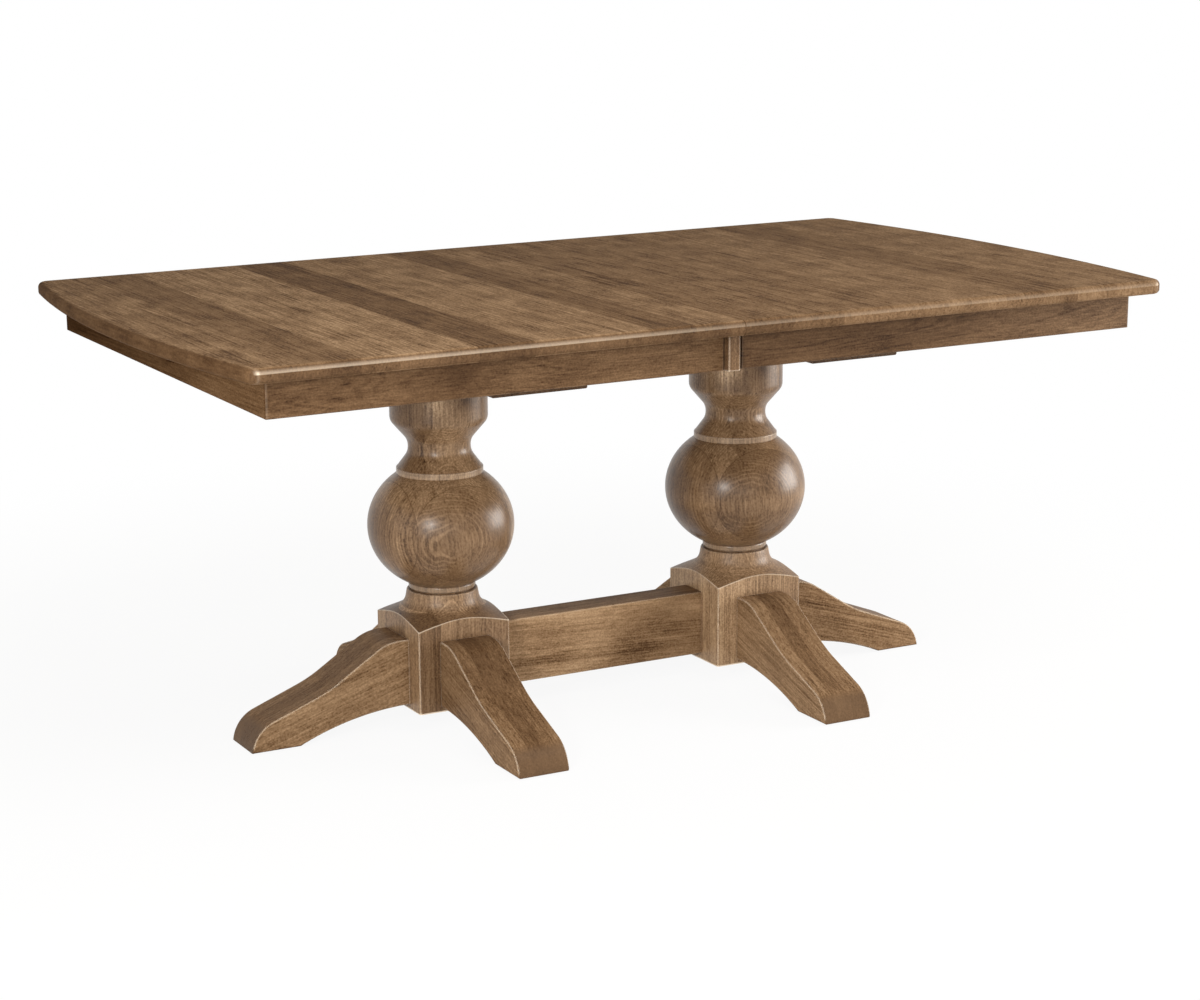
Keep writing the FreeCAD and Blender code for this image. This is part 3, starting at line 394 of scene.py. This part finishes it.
def threefold(value):
    """A vector field with the same value three times."""
    return joined(value, value, value)


def chosen(mask, where_set, elsewhere):
    """A vector field that is one vector where the mask is 1 and the other where it is 0."""
    node = mask.tree.nodes.new("ShaderNodeMix")
    node.data_type = "VECTOR"
    plug(mask.tree, node.inputs["Factor"], mask)
    a, b = (s for s in node.inputs if s.type == "VECTOR" and s.name in "AB")
    plug(mask.tree, a, elsewhere)
    plug(mask.tree, b, where_set)
    output = next(s for s in node.outputs if s.type == "VECTOR")
    return Place(mask.tree, output)


def noise(point, sizes, detail=2.0, roughness=0.5):
    """Smooth noise from 0 to 1 with features of these sizes along the three axes."""
    tree = point.tree
    node = tree.nodes.new("ShaderNodeTexNoise")
    plug(tree, node.inputs["Vector"], point.times(tuple(1.0 / size for size in sizes)))
    node.inputs["Scale"].default_value = 1.0
    node.inputs["Detail"].default_value = detail
    node.inputs["Roughness"].default_value = roughness
    return Field(tree, node.outputs["Fac"])


def occlusion(tree, reach, inside, only_local):
    """1 on open surface, falling towards 0 near edges (inside) or in corners (outside)."""
    node = tree.nodes.new("ShaderNodeAmbientOcclusion")
    node.inside = inside
    node.only_local = only_local
    node.samples = OCCLUSION_SAMPLES
    node.inputs["Distance"].default_value = reach
    return Field(tree, node.outputs["AO"])


def object_point(tree):
    """The surface point in the table's frame, in mm."""
    node = tree.nodes.new("ShaderNodeTexCoord")
    return Place(tree, node.outputs["Object"]).times((1 / MM,) * 3)


def object_normal(tree):
    """The surface's direction in the table's frame."""
    return Place(tree, tree.nodes.new("ShaderNodeTexCoord").outputs["Normal"])


def strips(coordinate, table, low):
    """Tone, seed and offset of the strip that a coordinate in mm falls in."""
    tree = coordinate.tree
    high = table[-1][0]
    node = tree.nodes.new("ShaderNodeValToRGB")
    ramp = node.color_ramp
    ramp.interpolation = "CONSTANT"
    start = low
    for index, (edge, tone, seed, offset) in enumerate(table):
        share = (start - low) / (high - low)
        element = ramp.elements[0] if index == 0 else ramp.elements.new(share)
        element.position = share
        element.color = (tone / TONE_LIMIT, seed, offset / OFFSET_LIMIT, 1.0)
        start = edge
    ramp.elements.remove(ramp.elements[-1])
    plug(tree, node.inputs[0], (coordinate - low) / (high - low))
    tone, seed, offset = Place(tree, node.outputs["Color"]).parts()
    return tone * TONE_LIMIT, seed, offset * OFFSET_LIMIT


def stained_wood_group():
    """The shared wood. Grain is in mm, X along the grain and Y, Z from the pith."""
    tree = bpy.data.node_groups.new("stained_wood", "ShaderNodeTree")
    tree.interface.new_socket("Grain", in_out="INPUT", socket_type="NodeSocketVector")
    starts = {"Tone": 1.0, "Seed": 0.0, "Figure": 1.0, "Spacing": 3.0, "Bend": 16.0, "Swirl": 0.0,
              "Matt": 0.5, "Wear": 0.5, "Rub_And_Sheen": 0.0, "Contrast": 1.0, "Coarse": 1.0, "Blotch": 1.0}
    for name, start in starts.items():
        socket = tree.interface.new_socket(name, in_out="INPUT", socket_type="NodeSocketFloat")
        socket.default_value = start
    for name, kind in (("Color", "NodeSocketColor"), ("Roughness", "NodeSocketFloat"),
                       ("Height", "NodeSocketFloat")):
        tree.interface.new_socket(name, in_out="OUTPUT", socket_type=kind)
    given = tree.nodes.new("NodeGroupInput")
    result = tree.nodes.new("NodeGroupOutput")
    grain = Place(tree, given.outputs["Grain"])
    tone, seed, figure, spacing, bend, swirl, matt, wear, rub_and_sheen, contrast, coarse, blotch = (
        Field(tree, given.outputs[name]) for name in starts)
    point = grain.plus(joined(*(seed * shift for shift in SEED_SHIFTS)))

    # growth rings, bent by slow noise and uneven in width and strength
    _, across, through = grain.parts()
    bent = (noise(point, BEND_SIZES) - 0.5) * bend
    wobble = (noise(point, WOBBLE_SIZES) - 0.5) * RING_WOBBLE
    distance = (across * across + through * through) ** 0.5 + bent + wobble + swirl
    ring = distance / spacing
    ring = ring + noise(joined(ring, seed * 40.0, 0.0), RING_WIDTH_SIZES) * 1.6
    strength = noise(joined(ring, seed * 90.0, 3.0), RING_STRENGTH_SIZES, detail=1.0).rise(0.25, 0.75)
    shown = noise(point, SHOWN_SIZES).rise(0.36, 0.66)
    late = ring.math("SINE", ring * math.tau).rise(-0.1, 1.0) * (0.25 + strength) * (0.3 + shown * 0.7)

    # long fibres, short flecks, grit, clouds and mineral streaks
    fine = point.times(threefold(1.0 / coarse))
    fibre = noise(fine, FIBRE_SIZES, detail=3.0, roughness=0.65) - 0.5
    fleck = noise(fine, FLECK_SIZES, detail=2.0, roughness=0.6) - 0.5
    grit = noise(fine, GRIT_SIZES, detail=1.0) - 0.5
    cloud = noise(point, CLOUD_SIZES, detail=3.0, roughness=0.6) - 0.5
    streak = noise(point, STREAK_SIZES, detail=2.0).rise(0.54, 0.70)
    change = fibre * FIBRE_CHANGE + fleck * FLECK_CHANGE + grit * GRIT_CHANGE
    change = change - late * figure * LATE_WOOD_CHANGE - streak * STREAK_CHANGE
    change = change * contrast + cloud * blotch
    shade = (MIDDLE_SHADE + change).larger(LEAST_SHADE) * tone

    # light wear on the arrises, and darkening in the corners, partly gathered stain and partly painted shade
    open_inside = occlusion(tree, ARRIS_REACH, inside=True, only_local=True)
    patches = noise(point, PATCH_SIZES, detail=2.0)
    corner = occlusion(tree, CORNER_REACH, inside=False, only_local=False)
    arris = (1.0 - open_inside).rise(0.14, 0.34) * corner.rise(0.55, 0.9) * (0.45 + patches * 0.9)
    # pale on worn arrises, and where a layout asks for it: rubbed wear on some pieces, painted highlight on
    # others
    bare_and_sheen = (arris * wear + rub_and_sheen * (0.9 + fleck * 0.4)).smaller(1.0).larger(0.0)
    shade = shade * (CORNER_SHADE + corner * (1.0 - CORNER_SHADE))

    stained = joined(*(shade ** power for power in STAIN_POWERS)).times(STAIN)
    plug(tree, result.inputs["Color"], chosen(bare_and_sheen, WORN_AND_SHEEN, stained))
    plug(tree, result.inputs["Roughness"], matt + cloud * 0.12 + fleck * 0.12 - bare_and_sheen * 0.08)
    plug(tree, result.inputs["Height"], fibre * 0.8 + fleck * 0.8 - late * figure * 0.12)
    return tree


WOOD = stained_wood_group()


def new_material(name):
    """A new material with a Principled shader: (material, tree, shader)."""
    material = bpy.data.materials.new(name)
    material.use_nodes = True
    tree = material.node_tree
    return material, tree, tree.nodes["Principled BSDF"]


def bumped(tree, shader, height, distance):
    """Gives the shader a normal from a height field."""
    node = tree.nodes.new("ShaderNodeBump")
    node.inputs["Distance"].default_value = distance
    plug(tree, node.inputs["Height"], height)
    tree.links.new(node.outputs["Normal"], shader.inputs["Normal"])


def wood_material(name, layout, shine=0.18, relief=0.10):
    """A stained wood. layout(point, normal) gives the shared wood's inputs by name; relief is in mm."""
    material, tree, shader = new_material(name)
    group = tree.nodes.new("ShaderNodeGroup")
    group.node_tree = WOOD
    for key, value in layout(object_point(tree), object_normal(tree)).items():
        plug(tree, group.inputs[key], value)
    tree.links.new(group.outputs["Color"], shader.inputs["Base Color"])
    tree.links.new(group.outputs["Roughness"], shader.inputs["Roughness"])
    bumped(tree, shader, Field(tree, group.outputs["Height"]), relief * MM)
    shader.inputs["Specular IOR Level"].default_value = shine
    return material


def top_layout(point, normal):
    """Boards across the table, each with its own tone and figure; end grain on the long edges.
    The edges get painted shade, and the front edge a painted highlight with glints at its corners.
    """
    x, y, z = point.parts()
    tone, seed, offset = strips(x, BOARDS, TOP_LEFT_END)
    sideways, facing, upward = normal.parts()
    end = abs(facing).rise(0.35, 0.8)
    side = abs(sideways).rise(0.1, 0.5)
    edge = abs(facing).rise(0.05, 0.35).larger(side)

    # the edges are darker than the boards: the long edges from end grain taking more stain and from painted
    # shade, the bowed ends from painted shade
    edge_grain_and_shade = end * (EDGE_DARK - x.rise(*EDGE_TONE_STRETCH) * EDGE_DARK_FALL)
    tone = tone + (EDGE_TONE - tone) * end * 0.6
    tone = tone * (1.0 - edge_grain_and_shade.larger(side * BOWED_END_PAINTED_SHADE))

    # painted highlight on the round of the front edge, brightest at the corners, and faintly paler end grain
    front = (facing * -1.0).rise(0.1, 0.35) * (1.0 - abs(sideways).rise(0.42, 0.60))
    glint = abs(sideways).near(0.26, 0.20) * front
    on_round = upward.rise(0.02, 0.12) * (1.0 - upward.rise(0.16, 0.80))
    edge_highlight = front * (EDGE_HIGHLIGHT - x.rise(*EDGE_HIGHLIGHT_STRETCH) * EDGE_HIGHLIGHT_FALL) + glint * CORNER_GLINT
    rub_and_sheen = on_round * edge_highlight + glint * 0.07 + end * 0.015

    grain = joined(y * 2.2, x + offset - BOARD_SHIFT * seed, z - TOP_PITH_HEIGHT)
    return {"Grain": grain, "Tone": tone, "Seed": seed, "Figure": 0.6, "Spacing": 8.0, "Bend": 30.0,
            "Matt": 0.8, "Wear": 0.0, "Rub_And_Sheen": rub_and_sheen, "Contrast": 1.25 - edge * 0.55, "Coarse": 1.15,
            "Blotch": 1.5}


def front_apron_layout(seed, tone, peak_x, figure=1.0, knot=None, pale=None):
    """Flat-sawn rail along X with cathedral grain about a peak, at times a knot and a paler end."""
    def layout(point, normal):
        x, _, z = point.parts()
        depth = ((x - peak_x) * (x - peak_x) * CATHEDRAL_SPREAD + CATHEDRAL_DEPTH_SQUARED) ** 0.5
        inputs = {"Grain": joined(x, z - APRON_PITH_HEIGHT, depth), "Tone": tone, "Seed": seed,
                  "Figure": figure, "Spacing": 5.0, "Bend": 34.0, "Wear": 0.06, "Contrast": 0.85,
                  "Blotch": 1.3}
        if knot is not None:
            middle = ((x - knot[0]) / KNOT_SIZE[0]).hill() * ((z - knot[1]) / KNOT_SIZE[1]).hill()
            inputs["Swirl"] = middle * KNOT_SWIRL
            inputs["Figure"] = figure * (1.0 - middle * 0.9)
            inputs["Tone"] = inputs["Tone"] * (1.0 - middle * KNOT_DARK)
        if pale is not None:
            start, full, added = pale
            inputs["Tone"] = inputs["Tone"] * (1.0 + x.rise(start, full) * added)
        return inputs
    return layout


def end_apron_layout(seed, tone):
    """Rail along Y, paler towards the front and dark at the mitres."""
    def layout(point, normal):
        x, y, z = point.parts()
        grain = joined(y, z - END_PITH_HEIGHT + y * 0.02, x * 0.9 + END_PITH_DEPTH)
        mitre = abs(y).rise(MITRE_REACH - MITRE_LINE, MITRE_REACH)
        paler = END_FRONT_TONE - y.rise(*END_TONE_STRETCH) * END_TONE_FALL
        return {"Grain": grain, "Tone": tone * paler * (1.0 - mitre * MITRE_DARK), "Seed": seed,
                "Figure": 1.1, "Spacing": 5.0, "Bend": 24.0, "Matt": 0.85, "Wear": 0.0, "Contrast": 0.8,
                "Blotch": 1.2}
    return layout


def column_layout(middle_x, seed, look):
    """Upright grain in a core of four boards, with a cap board glued to each side of it at the ball."""
    def layout(point, normal):
        x, y, z = point.plus((-middle_x, 0, 0)).parts()
        turned = z.over(BLOCK_TOP)
        front = abs(y).over(BLANK_HALF) * turned
        side = abs(x).over(BLANK_HALF) * turned * (1.0 - front)
        capped = front.larger(side)

        # grain of the core and of the caps; the front and back caps lie askew
        tone, strip_seed, offset = strips(x, look["strips"], -BLANK_HALF)
        core = joined(z, x + offset, y + CORE_PITH)
        height = z - BALL_MIDDLE
        front_cap = joined(height * 0.8,
                           x * 0.95 - y * 0.32 + height * 0.1,
                           y + x * 0.34 + height * 0.07 - FRONT_CAP_PITH)
        side_cap = joined(z, x * 0.3 + z * 0.05, y + SIDE_CAP_PITH)
        grain = chosen(front, front_cap, chosen(side, side_cap, core))

        # tones of the boards, more even on the shoulder and the ball, with dark glue lines
        shoulder = normal.along((0, 0, 1)).rise(0.2, 1.0) * (1.0 - z.over(COVE_TOP))
        even = (turned * (1.0 - z.over(COLLAR_MIDDLE))).larger(shoulder)
        tone = tone + (1.0 - tone) * even * 0.6
        # painted shade at the left rim of the side caps, and painted light in the right cap's tone
        rim_shade, inner, far = look["caps"]
        on_right = x.over(0.0)
        cap_tone_and_light = (rim_shade + x.rise(*CAP_RIM_PAINTED_SHADE) * (inner - rim_shade)) * (1.0 - on_right) + on_right * far
        tone = tone * (1.0 - capped) + front * look["front_cap"] + side * cap_tone_and_light
        glue = (abs(x).near(BLANK_HALF, GLUE_HALF) + abs(y).near(BLANK_HALF, GLUE_HALF)) * turned
        tone = tone * (1.0 - glue.smaller(1.0) * GLUE_DARK)

        # tones of the turned forms, from the block up to the drum, with painted light on the block's sides,
        # painted shade on the shoulder, painted light and shade under the collar, a painted reflection belt
        # round the ball, and a painted highlight and painted shade on the drum
        cove = turned * (1.0 - z.over(COVE_TOP))
        ball = z.over(COVE_TOP) * (1.0 - z.rise(BALL_MIDDLE, COLLAR_MIDDLE))
        painted_reflection_belt = z.near(BELT_MIDDLE, BELT_HALF)
        side_painted_light = (1.0 - turned) * abs(normal.along((1, 0, 0))).over(0.5)
        under_collar_light_and_shade = z.rise(*UNDER_COLLAR_LIGHT_SPAN) * (1.0 - z.over(COLLAR_MIDDLE))
        neck = z.over(COLLAR_MIDDLE) * (1.0 - z.rise(*DRUM_START))
        pale_wood_and_highlight = x.near(look["drum_highlight_place"], PALE_AND_HIGHLIGHT_HALF)
        drum_painted_shade = x.near(look["drum_highlight_place"] + DRUM_SHADE_SHIFT, DRUM_SHADE_HALF)
        drum_tone_and_light = pale_wood_and_highlight * PALE_AND_HIGHLIGHT_TONE + DRUM_TONE + drum_painted_shade * DRUM_SHADE_TONE
        tone = tone * (COLUMN_TONE + (1.0 - turned) * look["block"] + cove * COVE_TONE
                       + shoulder * SHOULDER_PAINTED_SHADE + ball * BALL_TONE + side_painted_light * look["side_painted_light"]
                       + under_collar_light_and_shade * look["under_collar_light_and_shade"] + neck * look["neck"]
                       + z.rise(*DRUM_START) * drum_tone_and_light + painted_reflection_belt * look["painted_reflection_belt"])

        # collar and bead rubbed pale, partly wear and partly a painted highlight, and the curl on the left
        # drum
        band = z.near(COLLAR_MIDDLE, BAND_HALF).larger(z.near(BEAD_MIDDLE, BAND_HALF)).rise(0.1, 0.5)
        curl = point.plus(tuple(-value for value in DRUM_CURL))
        curled = (curl.along((1, 0, 0)) / CURL_WIDTH).hill() * (curl.along((0, 0, 1)) / CURL_HEIGHT).hill()

        board_seed = strip_seed * (1.0 - capped) + front * 0.31 + side * 0.17 + seed
        return {"Grain": grain, "Tone": tone, "Seed": board_seed, "Figure": curled - 1.1 - front * 0.6,
                "Spacing": 4.6 + side * 1.4 - front * 0.6, "Bend": 14.0, "Swirl": curled * CURL_SWIRL,
                "Matt": 0.32 + (1.0 - z.over(COVE_TOP)) * 0.12,
                "Wear": 1.6 - z.rise(*BLOCK_ARRIS_STRETCH) * 0.8, "Rub_And_Sheen": band * 0.12,
                "Contrast": 1.05 - front * 0.2, "Coarse": 1.1}
    return layout


def leg_layout(middle_x, heading, seed, look, table):
    """Grain down the slope of the leg, in strips glued side by side; the nose is plain and dark.
    The sides get painted light, and the nose a faint painted sheen.
    """
    heading = Vector(heading)
    along = heading * math.cos(LEG_SLOPE) - Vector((0, 0, math.sin(LEG_SLOPE)))
    across = Vector((0, 0, 1)).cross(heading)
    through = along.cross(across)
    leg_tone, nose, foot, wear = look

    def layout(point, normal):
        local = point.plus((-middle_x, 0, -LEG_ROOT_HEIGHT))
        side = local.along(across)
        tone, strip_seed, offset = strips(side, table, -LEG_STRIPS_HALF)
        end = normal.along(heading).rise(0.45, 0.75)
        side_painted_light = abs(normal.along(across)).rise(0.5, 0.9)
        reach = local.along(heading).rise(*LEG_FOOT_STRETCH)
        tone = tone + (NOSE_TONE - tone) * end * 0.8
        # painted light on the leg's sides
        tone = tone * leg_tone * (1.0 - end * nose + side_painted_light * LEG_SIDE_PAINTED_LIGHT + reach * foot)
        above_sole = local.along((0, 0, 1)).rise(*LEG_SOLE_STRETCH)
        grain = joined(local.along(along), side + offset, local.along(through) + LEG_PITH)
        # the nose gets a faint painted sheen
        return {"Grain": grain, "Tone": tone, "Seed": strip_seed + seed, "Figure": 0.6 - end * 0.4,
                "Spacing": 6.0, "Bend": 14.0, "Matt": 0.48 - end * 0.18, "Wear": above_sole * wear,
                "Contrast": 0.95 - end * 0.6, "Rub_And_Sheen": end * 0.03, "Coarse": 1.1}
    return layout


def stretcher_layout(point, normal):
    """Rail along X, paler on the left, partly as painted light, and paler low down; painted shade on its
    top.
    """
    x, y, z = point.parts()
    upward = normal.along((0, 0, 1)).rise(0.5, 0.9)
    tone_and_light_along_x = STRETCHER_LEFT_TONE - x.rise(*STRETCHER_TONE_X) * STRETCHER_FALL_X
    along_z = STRETCHER_LOW_TONE - z.rise(*STRETCHER_TONE_Z) * STRETCHER_FALL_Z
    tone = tone_and_light_along_x * (along_z - upward * STRETCHER_TOP_PAINTED_SHADE)
    grain = joined(x, z - STRETCHER_PITH_HEIGHT + x * 0.05, y + STRETCHER_PITH_DEPTH)
    return {"Grain": grain, "Tone": tone, "Seed": 0.47, "Figure": 0.35, "Spacing": 6.0, "Bend": 40.0,
            "Wear": 0.8, "Blotch": 2.0, "Contrast": 0.8}


def plain_layout(along, seed, tone, wear=0.0):
    """Straight grain along one axis of the table."""
    def layout(point, normal):
        x, y, z = point.parts()
        length, across, through = {"X": (x, y, z), "Y": (y, z, x), "Z": (z, x, y)}[along]
        grain = joined(length, across + PLAIN_PITH[0], through + PLAIN_PITH[1])
        return {"Grain": grain, "Tone": tone, "Seed": seed, "Figure": 0.8, "Spacing": 4.0, "Wear": wear}
    return layout


def metal_material(name, colour, roughness, wear_colour):
    """Brushed steel with fine scratches, dull patches and bright edges."""
    material, tree, shader = new_material(name)
    point = object_point(tree)
    scratch = noise(point, SCRATCH_SIZES, detail=3.0)
    dull = noise(point, DULL_SIZES, detail=3.0)
    edge = (1.0 - occlusion(tree, STEEL_EDGE, inside=True, only_local=True)).rise(0.15, 0.5)
    base = threefold(0.75 + scratch * 0.2 + dull * 0.3).times(colour)
    plug(tree, shader.inputs["Base Color"], chosen(edge, wear_colour, base))
    plug(tree, shader.inputs["Roughness"], roughness + (dull - 0.5) * 0.3)
    shader.inputs["Metallic"].default_value = 1.0
    bumped(tree, shader, scratch, SCRATCH_DEPTH)
    return material


def nylon_material(name, colour, roughness):
    """Moulded nylon with a fine texture and slightly paler edges."""
    material, tree, shader = new_material(name)
    point = object_point(tree)
    skin = noise(point, SKIN_SIZES, detail=2.0)
    flow = noise(point, FLOW_SIZES, detail=2.0)
    edge = (1.0 - occlusion(tree, NYLON_EDGE, inside=True, only_local=True)).rise(0.15, 0.5)
    base = threefold(0.82 + flow * 0.36 + edge * 0.25).times(colour)
    plug(tree, shader.inputs["Base Color"], base)
    plug(tree, shader.inputs["Roughness"], roughness + (skin - 0.5) * 0.2)
    bumped(tree, shader, skin, SKIN_DEPTH)
    return material


def dress(material, *nodes):
    """Puts a material on whole CAD nodes."""
    for node in nodes:
        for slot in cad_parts[node].material_slots:
            slot.material = material


def each_corner(ending):
    """The names of four nodes, one for each side and each of front and back."""
    return [f"{side}_{place}_{ending}" for side in ("left", "right") for place in ("front", "back")]


def dress_aprons():
    """Woods of the aprons and of the seam blocks between them."""
    left_rail = front_apron_layout(seed=0.21, tone=0.53, peak_x=-150.0, figure=0.9,
                                   knot=KNOT_PLACE, pale=LEFT_APRON_PALE)
    dress(wood_material("left_apron_wood", left_rail, shine=0.10), "left_front_apron")
    right_rail = front_apron_layout(seed=0.63, tone=0.44, peak_x=180.0, pale=RIGHT_APRON_PALE)
    dress(wood_material("right_apron_wood", right_rail, shine=0.10), "right_front_apron")
    back_rail = front_apron_layout(seed=0.34, tone=0.60, peak_x=90.0)
    dress(wood_material("back_apron_wood", back_rail), "left_back_apron", "right_back_apron")
    end_rail = end_apron_layout(seed=0.55, tone=0.40)
    dress(wood_material("end_apron_wood", end_rail, shine=0.0), "left_end_apron", "right_end_apron")
    seam_block = plain_layout("Z", seed=0.11, tone=0.63, wear=0.5)
    dress(wood_material("seam_block_wood", seam_block), "front_seam_block", "back_seam_block")


def dress_pedestals():
    """Woods of the columns, legs and stretcher."""
    pedestal_x = sum(corner.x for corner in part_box("right_column")) / 2 / MM
    for side, sign in (("left", -1), ("right", 1)):
        middle_x = sign * pedestal_x
        column = column_layout(middle_x, 0.2 + 0.1 * sign, COLUMN_LOOKS[side])
        dress(wood_material(side + "_column_wood", column, shine=0.29, relief=0.05), side + "_column")
        headings = {"end": (sign, 0, 0), "front": (0, -1, 0), "back": (0, 1, 0)}
        for index, (leg, heading) in enumerate(headings.items()):
            seed = 0.15 * index + 0.4 * (sign > 0)
            layout = leg_layout(middle_x, heading, seed, LEG_LOOKS[side][leg], LEG_STRIPS[leg])
            dress(wood_material(f"{side}_{leg}_leg_wood", layout, shine=0.05), f"{side}_{leg}_leg")
    dress(wood_material("stretcher_wood", stretcher_layout, shine=0.04), "stretcher")


def dress_inside():
    """Woods, steels and nylons of the pieces under the top and in the joints."""
    cleat = plain_layout("Y", seed=0.83, tone=0.45)
    dress(wood_material("cleat_wood", cleat), "left_cleat", "right_cleat")
    slide = plain_layout("X", seed=0.29, tone=1.25, wear=0.3)
    dress(wood_material("slide_wood", slide), "front_fixed_runner", "back_fixed_runner",
          *each_corner("runner"))
    block = plain_layout("Y", seed=0.73, tone=1.15, wear=0.3)
    dress(wood_material("block_wood", block), "left_glue_blocks", "right_glue_blocks",
          *each_corner("corner_block"))
    dowel = plain_layout("X", seed=0.91, tone=1.35)
    dress(wood_material("dowel_wood", dowel), "leg_dowels", "stretcher_dowels", "alignment_pins")
    steel = metal_material("zinc_steel", colour=(0.62, 0.62, 0.60), roughness=0.36,
                           wear_colour=(0.8, 0.8, 0.78))
    dress(steel, "pinion_axles", "stretcher_bolts", "stretcher_nuts", "stretcher_washers",
          "cleat_lag_screws", "fixed_runner_screws", "left_block_screws", "right_block_screws",
          "left_runner_screws", "right_runner_screws")
    lock_steel = metal_material("lock_steel", colour=(0.45, 0.40, 0.30), roughness=0.40,
                                wear_colour=(0.75, 0.70, 0.58))
    dress(lock_steel, "lock_plates", "lock_rivets", "lock_keepers", "front_lock_lever", "back_lock_lever")
    gear_nylon = nylon_material("gear_nylon", colour=(0.70, 0.68, 0.60), roughness=0.45)
    dress(gear_nylon, "front_pinion", "back_pinion", *each_corner("rack"))
    glide_nylon = nylon_material("glide_nylon", colour=(0.07, 0.055, 0.045), roughness=0.5)
    dress(glide_nylon, "foot_glides")


def seen_ray(tree):
    """1 for rays that show the background: straight to the camera, mirrored or through glass."""
    path = tree.nodes.new("ShaderNodeLightPath")
    camera, glossy, through = (
        Field(tree, path.outputs[f"Is {kind} Ray"]) for kind in ("Camera", "Glossy", "Transmission"))
    return camera.larger(glossy).larger(through)


def make_floor():
    """A pale floor that shows as white from far off and keeps a soft shadow under the table."""
    mesh = bpy.data.meshes.new("floor")
    half = FLOOR_HALF
    corners = [(-half, -half, 0), (half, -half, 0), (half, half, 0), (-half, half, 0)]
    mesh.from_pydata(corners, [], [(0, 1, 2, 3)])
    floor = bpy.data.objects.new("floor", mesh)
    floor.location.z = -FLOOR_DROP
    bpy.context.scene.collection.objects.link(floor)
    material = bpy.data.materials.new("pale_floor")
    material.use_nodes = True
    tree = material.node_tree
    tree.nodes.clear()
    x, y, _ = Place(tree, tree.nodes.new("ShaderNodeNewGeometry").outputs["Position"]).parts()
    away = ((x * x + y * y) ** 0.5).rise(FLOOR_FADE_START, FLOOR_FADE_END)
    diffuse = tree.nodes.new("ShaderNodeBsdfDiffuse")
    diffuse.inputs["Color"].default_value = FLOOR_COLOUR
    glow = tree.nodes.new("ShaderNodeEmission")
    glow.inputs["Color"].default_value = WHITE
    mix = tree.nodes.new("ShaderNodeMixShader")
    share = (away * (1.0 - FLOOR_GLOW_SHARE) + FLOOR_GLOW_SHARE) * seen_ray(tree)
    plug(tree, mix.inputs["Fac"], share)
    tree.links.new(diffuse.outputs[0], mix.inputs[1])
    tree.links.new(glow.outputs[0], mix.inputs[2])
    output = tree.nodes.new("ShaderNodeOutputMaterial")
    tree.links.new(mix.outputs[0], output.inputs["Surface"])
    mesh.materials.append(material)


def make_world():
    """Even, slightly warm light from all round, seen as white."""
    world = bpy.data.worlds.new("studio")
    bpy.context.scene.world = world
    world.use_nodes = True
    tree = world.node_tree
    background = tree.nodes["Background"]
    seen = seen_ray(tree)
    plug(tree, background.inputs["Color"], chosen(seen, WHITE[:3], AMBIENT_COLOUR))
    plug(tree, background.inputs["Strength"], seen * (1.0 - AMBIENT) + AMBIENT)


def make_lamps():
    """Soft boxes, each turned towards its aim."""
    for name, (place, aim, width, height, watts) in LAMPS.items():
        light = bpy.data.lights.new(name, "AREA")
        light.shape = "RECTANGLE"
        light.size = width
        light.size_y = height
        light.energy = watts
        light.color = LAMP_COLOUR
        lamp = bpy.data.objects.new(name, light)
        lamp.location = place
        lamp.rotation_euler = (Vector(aim) - Vector(place)).to_track_quat("-Z", "Y").to_euler()
        bpy.context.scene.collection.objects.link(lamp)


def make_camera():
    """The photograph's camera; the shift puts its optical axis on the middle pixel."""
    camera = bpy.data.cameras.new("camera")
    camera.sensor_width = SENSOR_WIDTH
    camera.lens = FOCAL_PIXELS * SENSOR_WIDTH / PICTURE_WIDTH
    camera.shift_x = (PICTURE_WIDTH / 2 - MIDDLE_PIXEL[0]) / PICTURE_WIDTH
    camera.shift_y = (MIDDLE_PIXEL[1] - PICTURE_HEIGHT / 2) / PICTURE_WIDTH
    forward = Vector((math.sin(CAMERA_HEADING) * math.cos(CAMERA_DIP),
                      math.cos(CAMERA_HEADING) * math.cos(CAMERA_DIP), -math.sin(CAMERA_DIP)))
    level = Vector((math.cos(CAMERA_HEADING), -math.sin(CAMERA_HEADING), 0.0))
    upward = level.cross(forward)
    right = level * math.cos(CAMERA_ROLL) + upward * math.sin(CAMERA_ROLL)
    up = upward * math.cos(CAMERA_ROLL) - level * math.sin(CAMERA_ROLL)
    turned = Matrix((right, up, -forward)).transposed().to_4x4()
    camera_object = bpy.data.objects.new("camera", camera)
    camera_object.matrix_world = Matrix.Translation(CAMERA_PLACE) @ turned
    bpy.context.scene.collection.objects.link(camera_object)
    bpy.context.scene.camera = camera_object


dress(wood_material("top_wood", top_layout, shine=0.04), "left_top", "right_top")
dress_aprons()
dress_pedestals()
dress_inside()
make_floor()
make_world()
make_lamps()
make_camera()
bpy.context.scene.view_settings.view_transform = "Standard"
